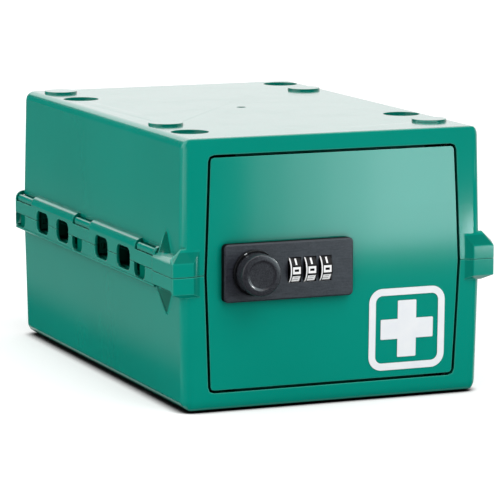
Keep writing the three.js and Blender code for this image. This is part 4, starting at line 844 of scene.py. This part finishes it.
# %% Film on the bowed door
SIGN_MIDDLE = Vector((50, 0, 44)) * MM
DOOR_FRONT = -142.95
OPENING_HALF_HEIGHT = 73.7 * MM
BOW = 1.3
FILM_GAP, FILM_THICK = 0.1, 0.3
CUT_REACH = 1e-7


def bow_at(height):
    return BOW * ((height - MIDDLE) / OPENING_HALF_HEIGHT) ** 2


def cut_level(work, height):
    bmesh.ops.bisect_plane(work, geom=work.verts[:] + work.edges[:] + work.faces[:], dist=CUT_REACH,
                           plane_co=(0, 0, height), plane_no=(0, 0, 1))


def flat_film(width, height):
    work = bmesh.new()
    corners = [(-1, -1), (1, -1), (1, 1), (-1, 1)]
    work.faces.new([work.verts.new(SIGN_MIDDLE + Vector((a * width, 0, b * height)) * (MM / 2))
                    for a, b in corners])
    return work


def laid_on_door(name, work, bands):
    low = min(v.co.z for v in work.verts)
    high = max(v.co.z for v in work.verts)
    for band in range(1, bands):
        cut_level(work, low + (high - low) * band / bands)
    layer = bmesh.ops.extrude_face_region(work, geom=work.faces[:])
    bmesh.ops.translate(work, vec=(0, -FILM_THICK * MM, 0), verts=moved_vertices(layer))
    for v in work.verts:
        v.co.y += (DOOR_FRONT - FILM_GAP + bow_at(v.co.z)) * MM
    bmesh.ops.recalc_face_normals(work, faces=work.faces)
    piece = place_piece(name, work, "sign_white", "door")
    print(name, "faces:", len(piece.data.polygons))
    return piece


# %% [markdown]
# The border starts as a square sheet. A vertex bevel rounds its four corners, an inset makes the
# rim, and the middle face is deleted, which leaves the ring.

# %% Sign border
BORDER_SIZE, BORDER_CORNER, BORDER_RIM = 52, 9, 4.5
BORDER_BANDS = 18

work = flat_film(BORDER_SIZE, BORDER_SIZE)
bmesh.ops.bevel(work, geom=work.verts[:], offset=BORDER_CORNER * MM, segments=10, profile=0.5,
                affect="VERTICES", material=-1)
bmesh.ops.inset_region(work, faces=work.faces[:], thickness=BORDER_RIM * MM,
                       use_even_offset=True, use_boundary=True)
inner = min(work.faces, key=lambda face: (face.calc_center_median() - SIGN_MIDDLE).length)
bmesh.ops.delete(work, geom=[inner], context="FACES_ONLY")
border = laid_on_door("sign_frame", work, BORDER_BANDS)
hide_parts("sign_border")

# %% [markdown]
# The cross starts as its upright bar. Two cuts give the height of the arms, the two side edges
# between them are extruded outwards, and a small vertex bevel takes the points off the eight tips.

# %% Sign cross
CROSS_SIZE, BAR_WIDTH, TIP_RADIUS = 36, 12.7, 0.7
ARM_REACH = (CROSS_SIZE - BAR_WIDTH) / 2
CROSS_BANDS = 12

work = flat_film(BAR_WIDTH, CROSS_SIZE)
for side in (-1, 1):
    cut_level(work, SIGN_MIDDLE.z + side * BAR_WIDTH / 2 * MM)
hub = min(work.faces, key=lambda face: abs(face.calc_center_median().z - SIGN_MIDDLE.z))
upright_edges = [edge for edge in hub.edges if abs(edge.verts[0].co.x - edge.verts[1].co.x) < MERGE]
for edge in upright_edges:
    side = 1 if edge.verts[0].co.x > SIGN_MIDDLE.x else -1
    arm = bmesh.ops.extrude_edge_only(work, edges=[edge])
    bmesh.ops.translate(work, vec=(side * ARM_REACH * MM, 0, 0), verts=moved_vertices(arm))
tips = [v for v in work.verts if len(v.link_edges) == 2]
bmesh.ops.bevel(work, geom=tips, offset=TIP_RADIUS * MM, segments=4, profile=0.5,
                affect="VERTICES", material=-1)
cross = laid_on_door("sign_plus", work, CROSS_BANDS)
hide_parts("sign_cross")
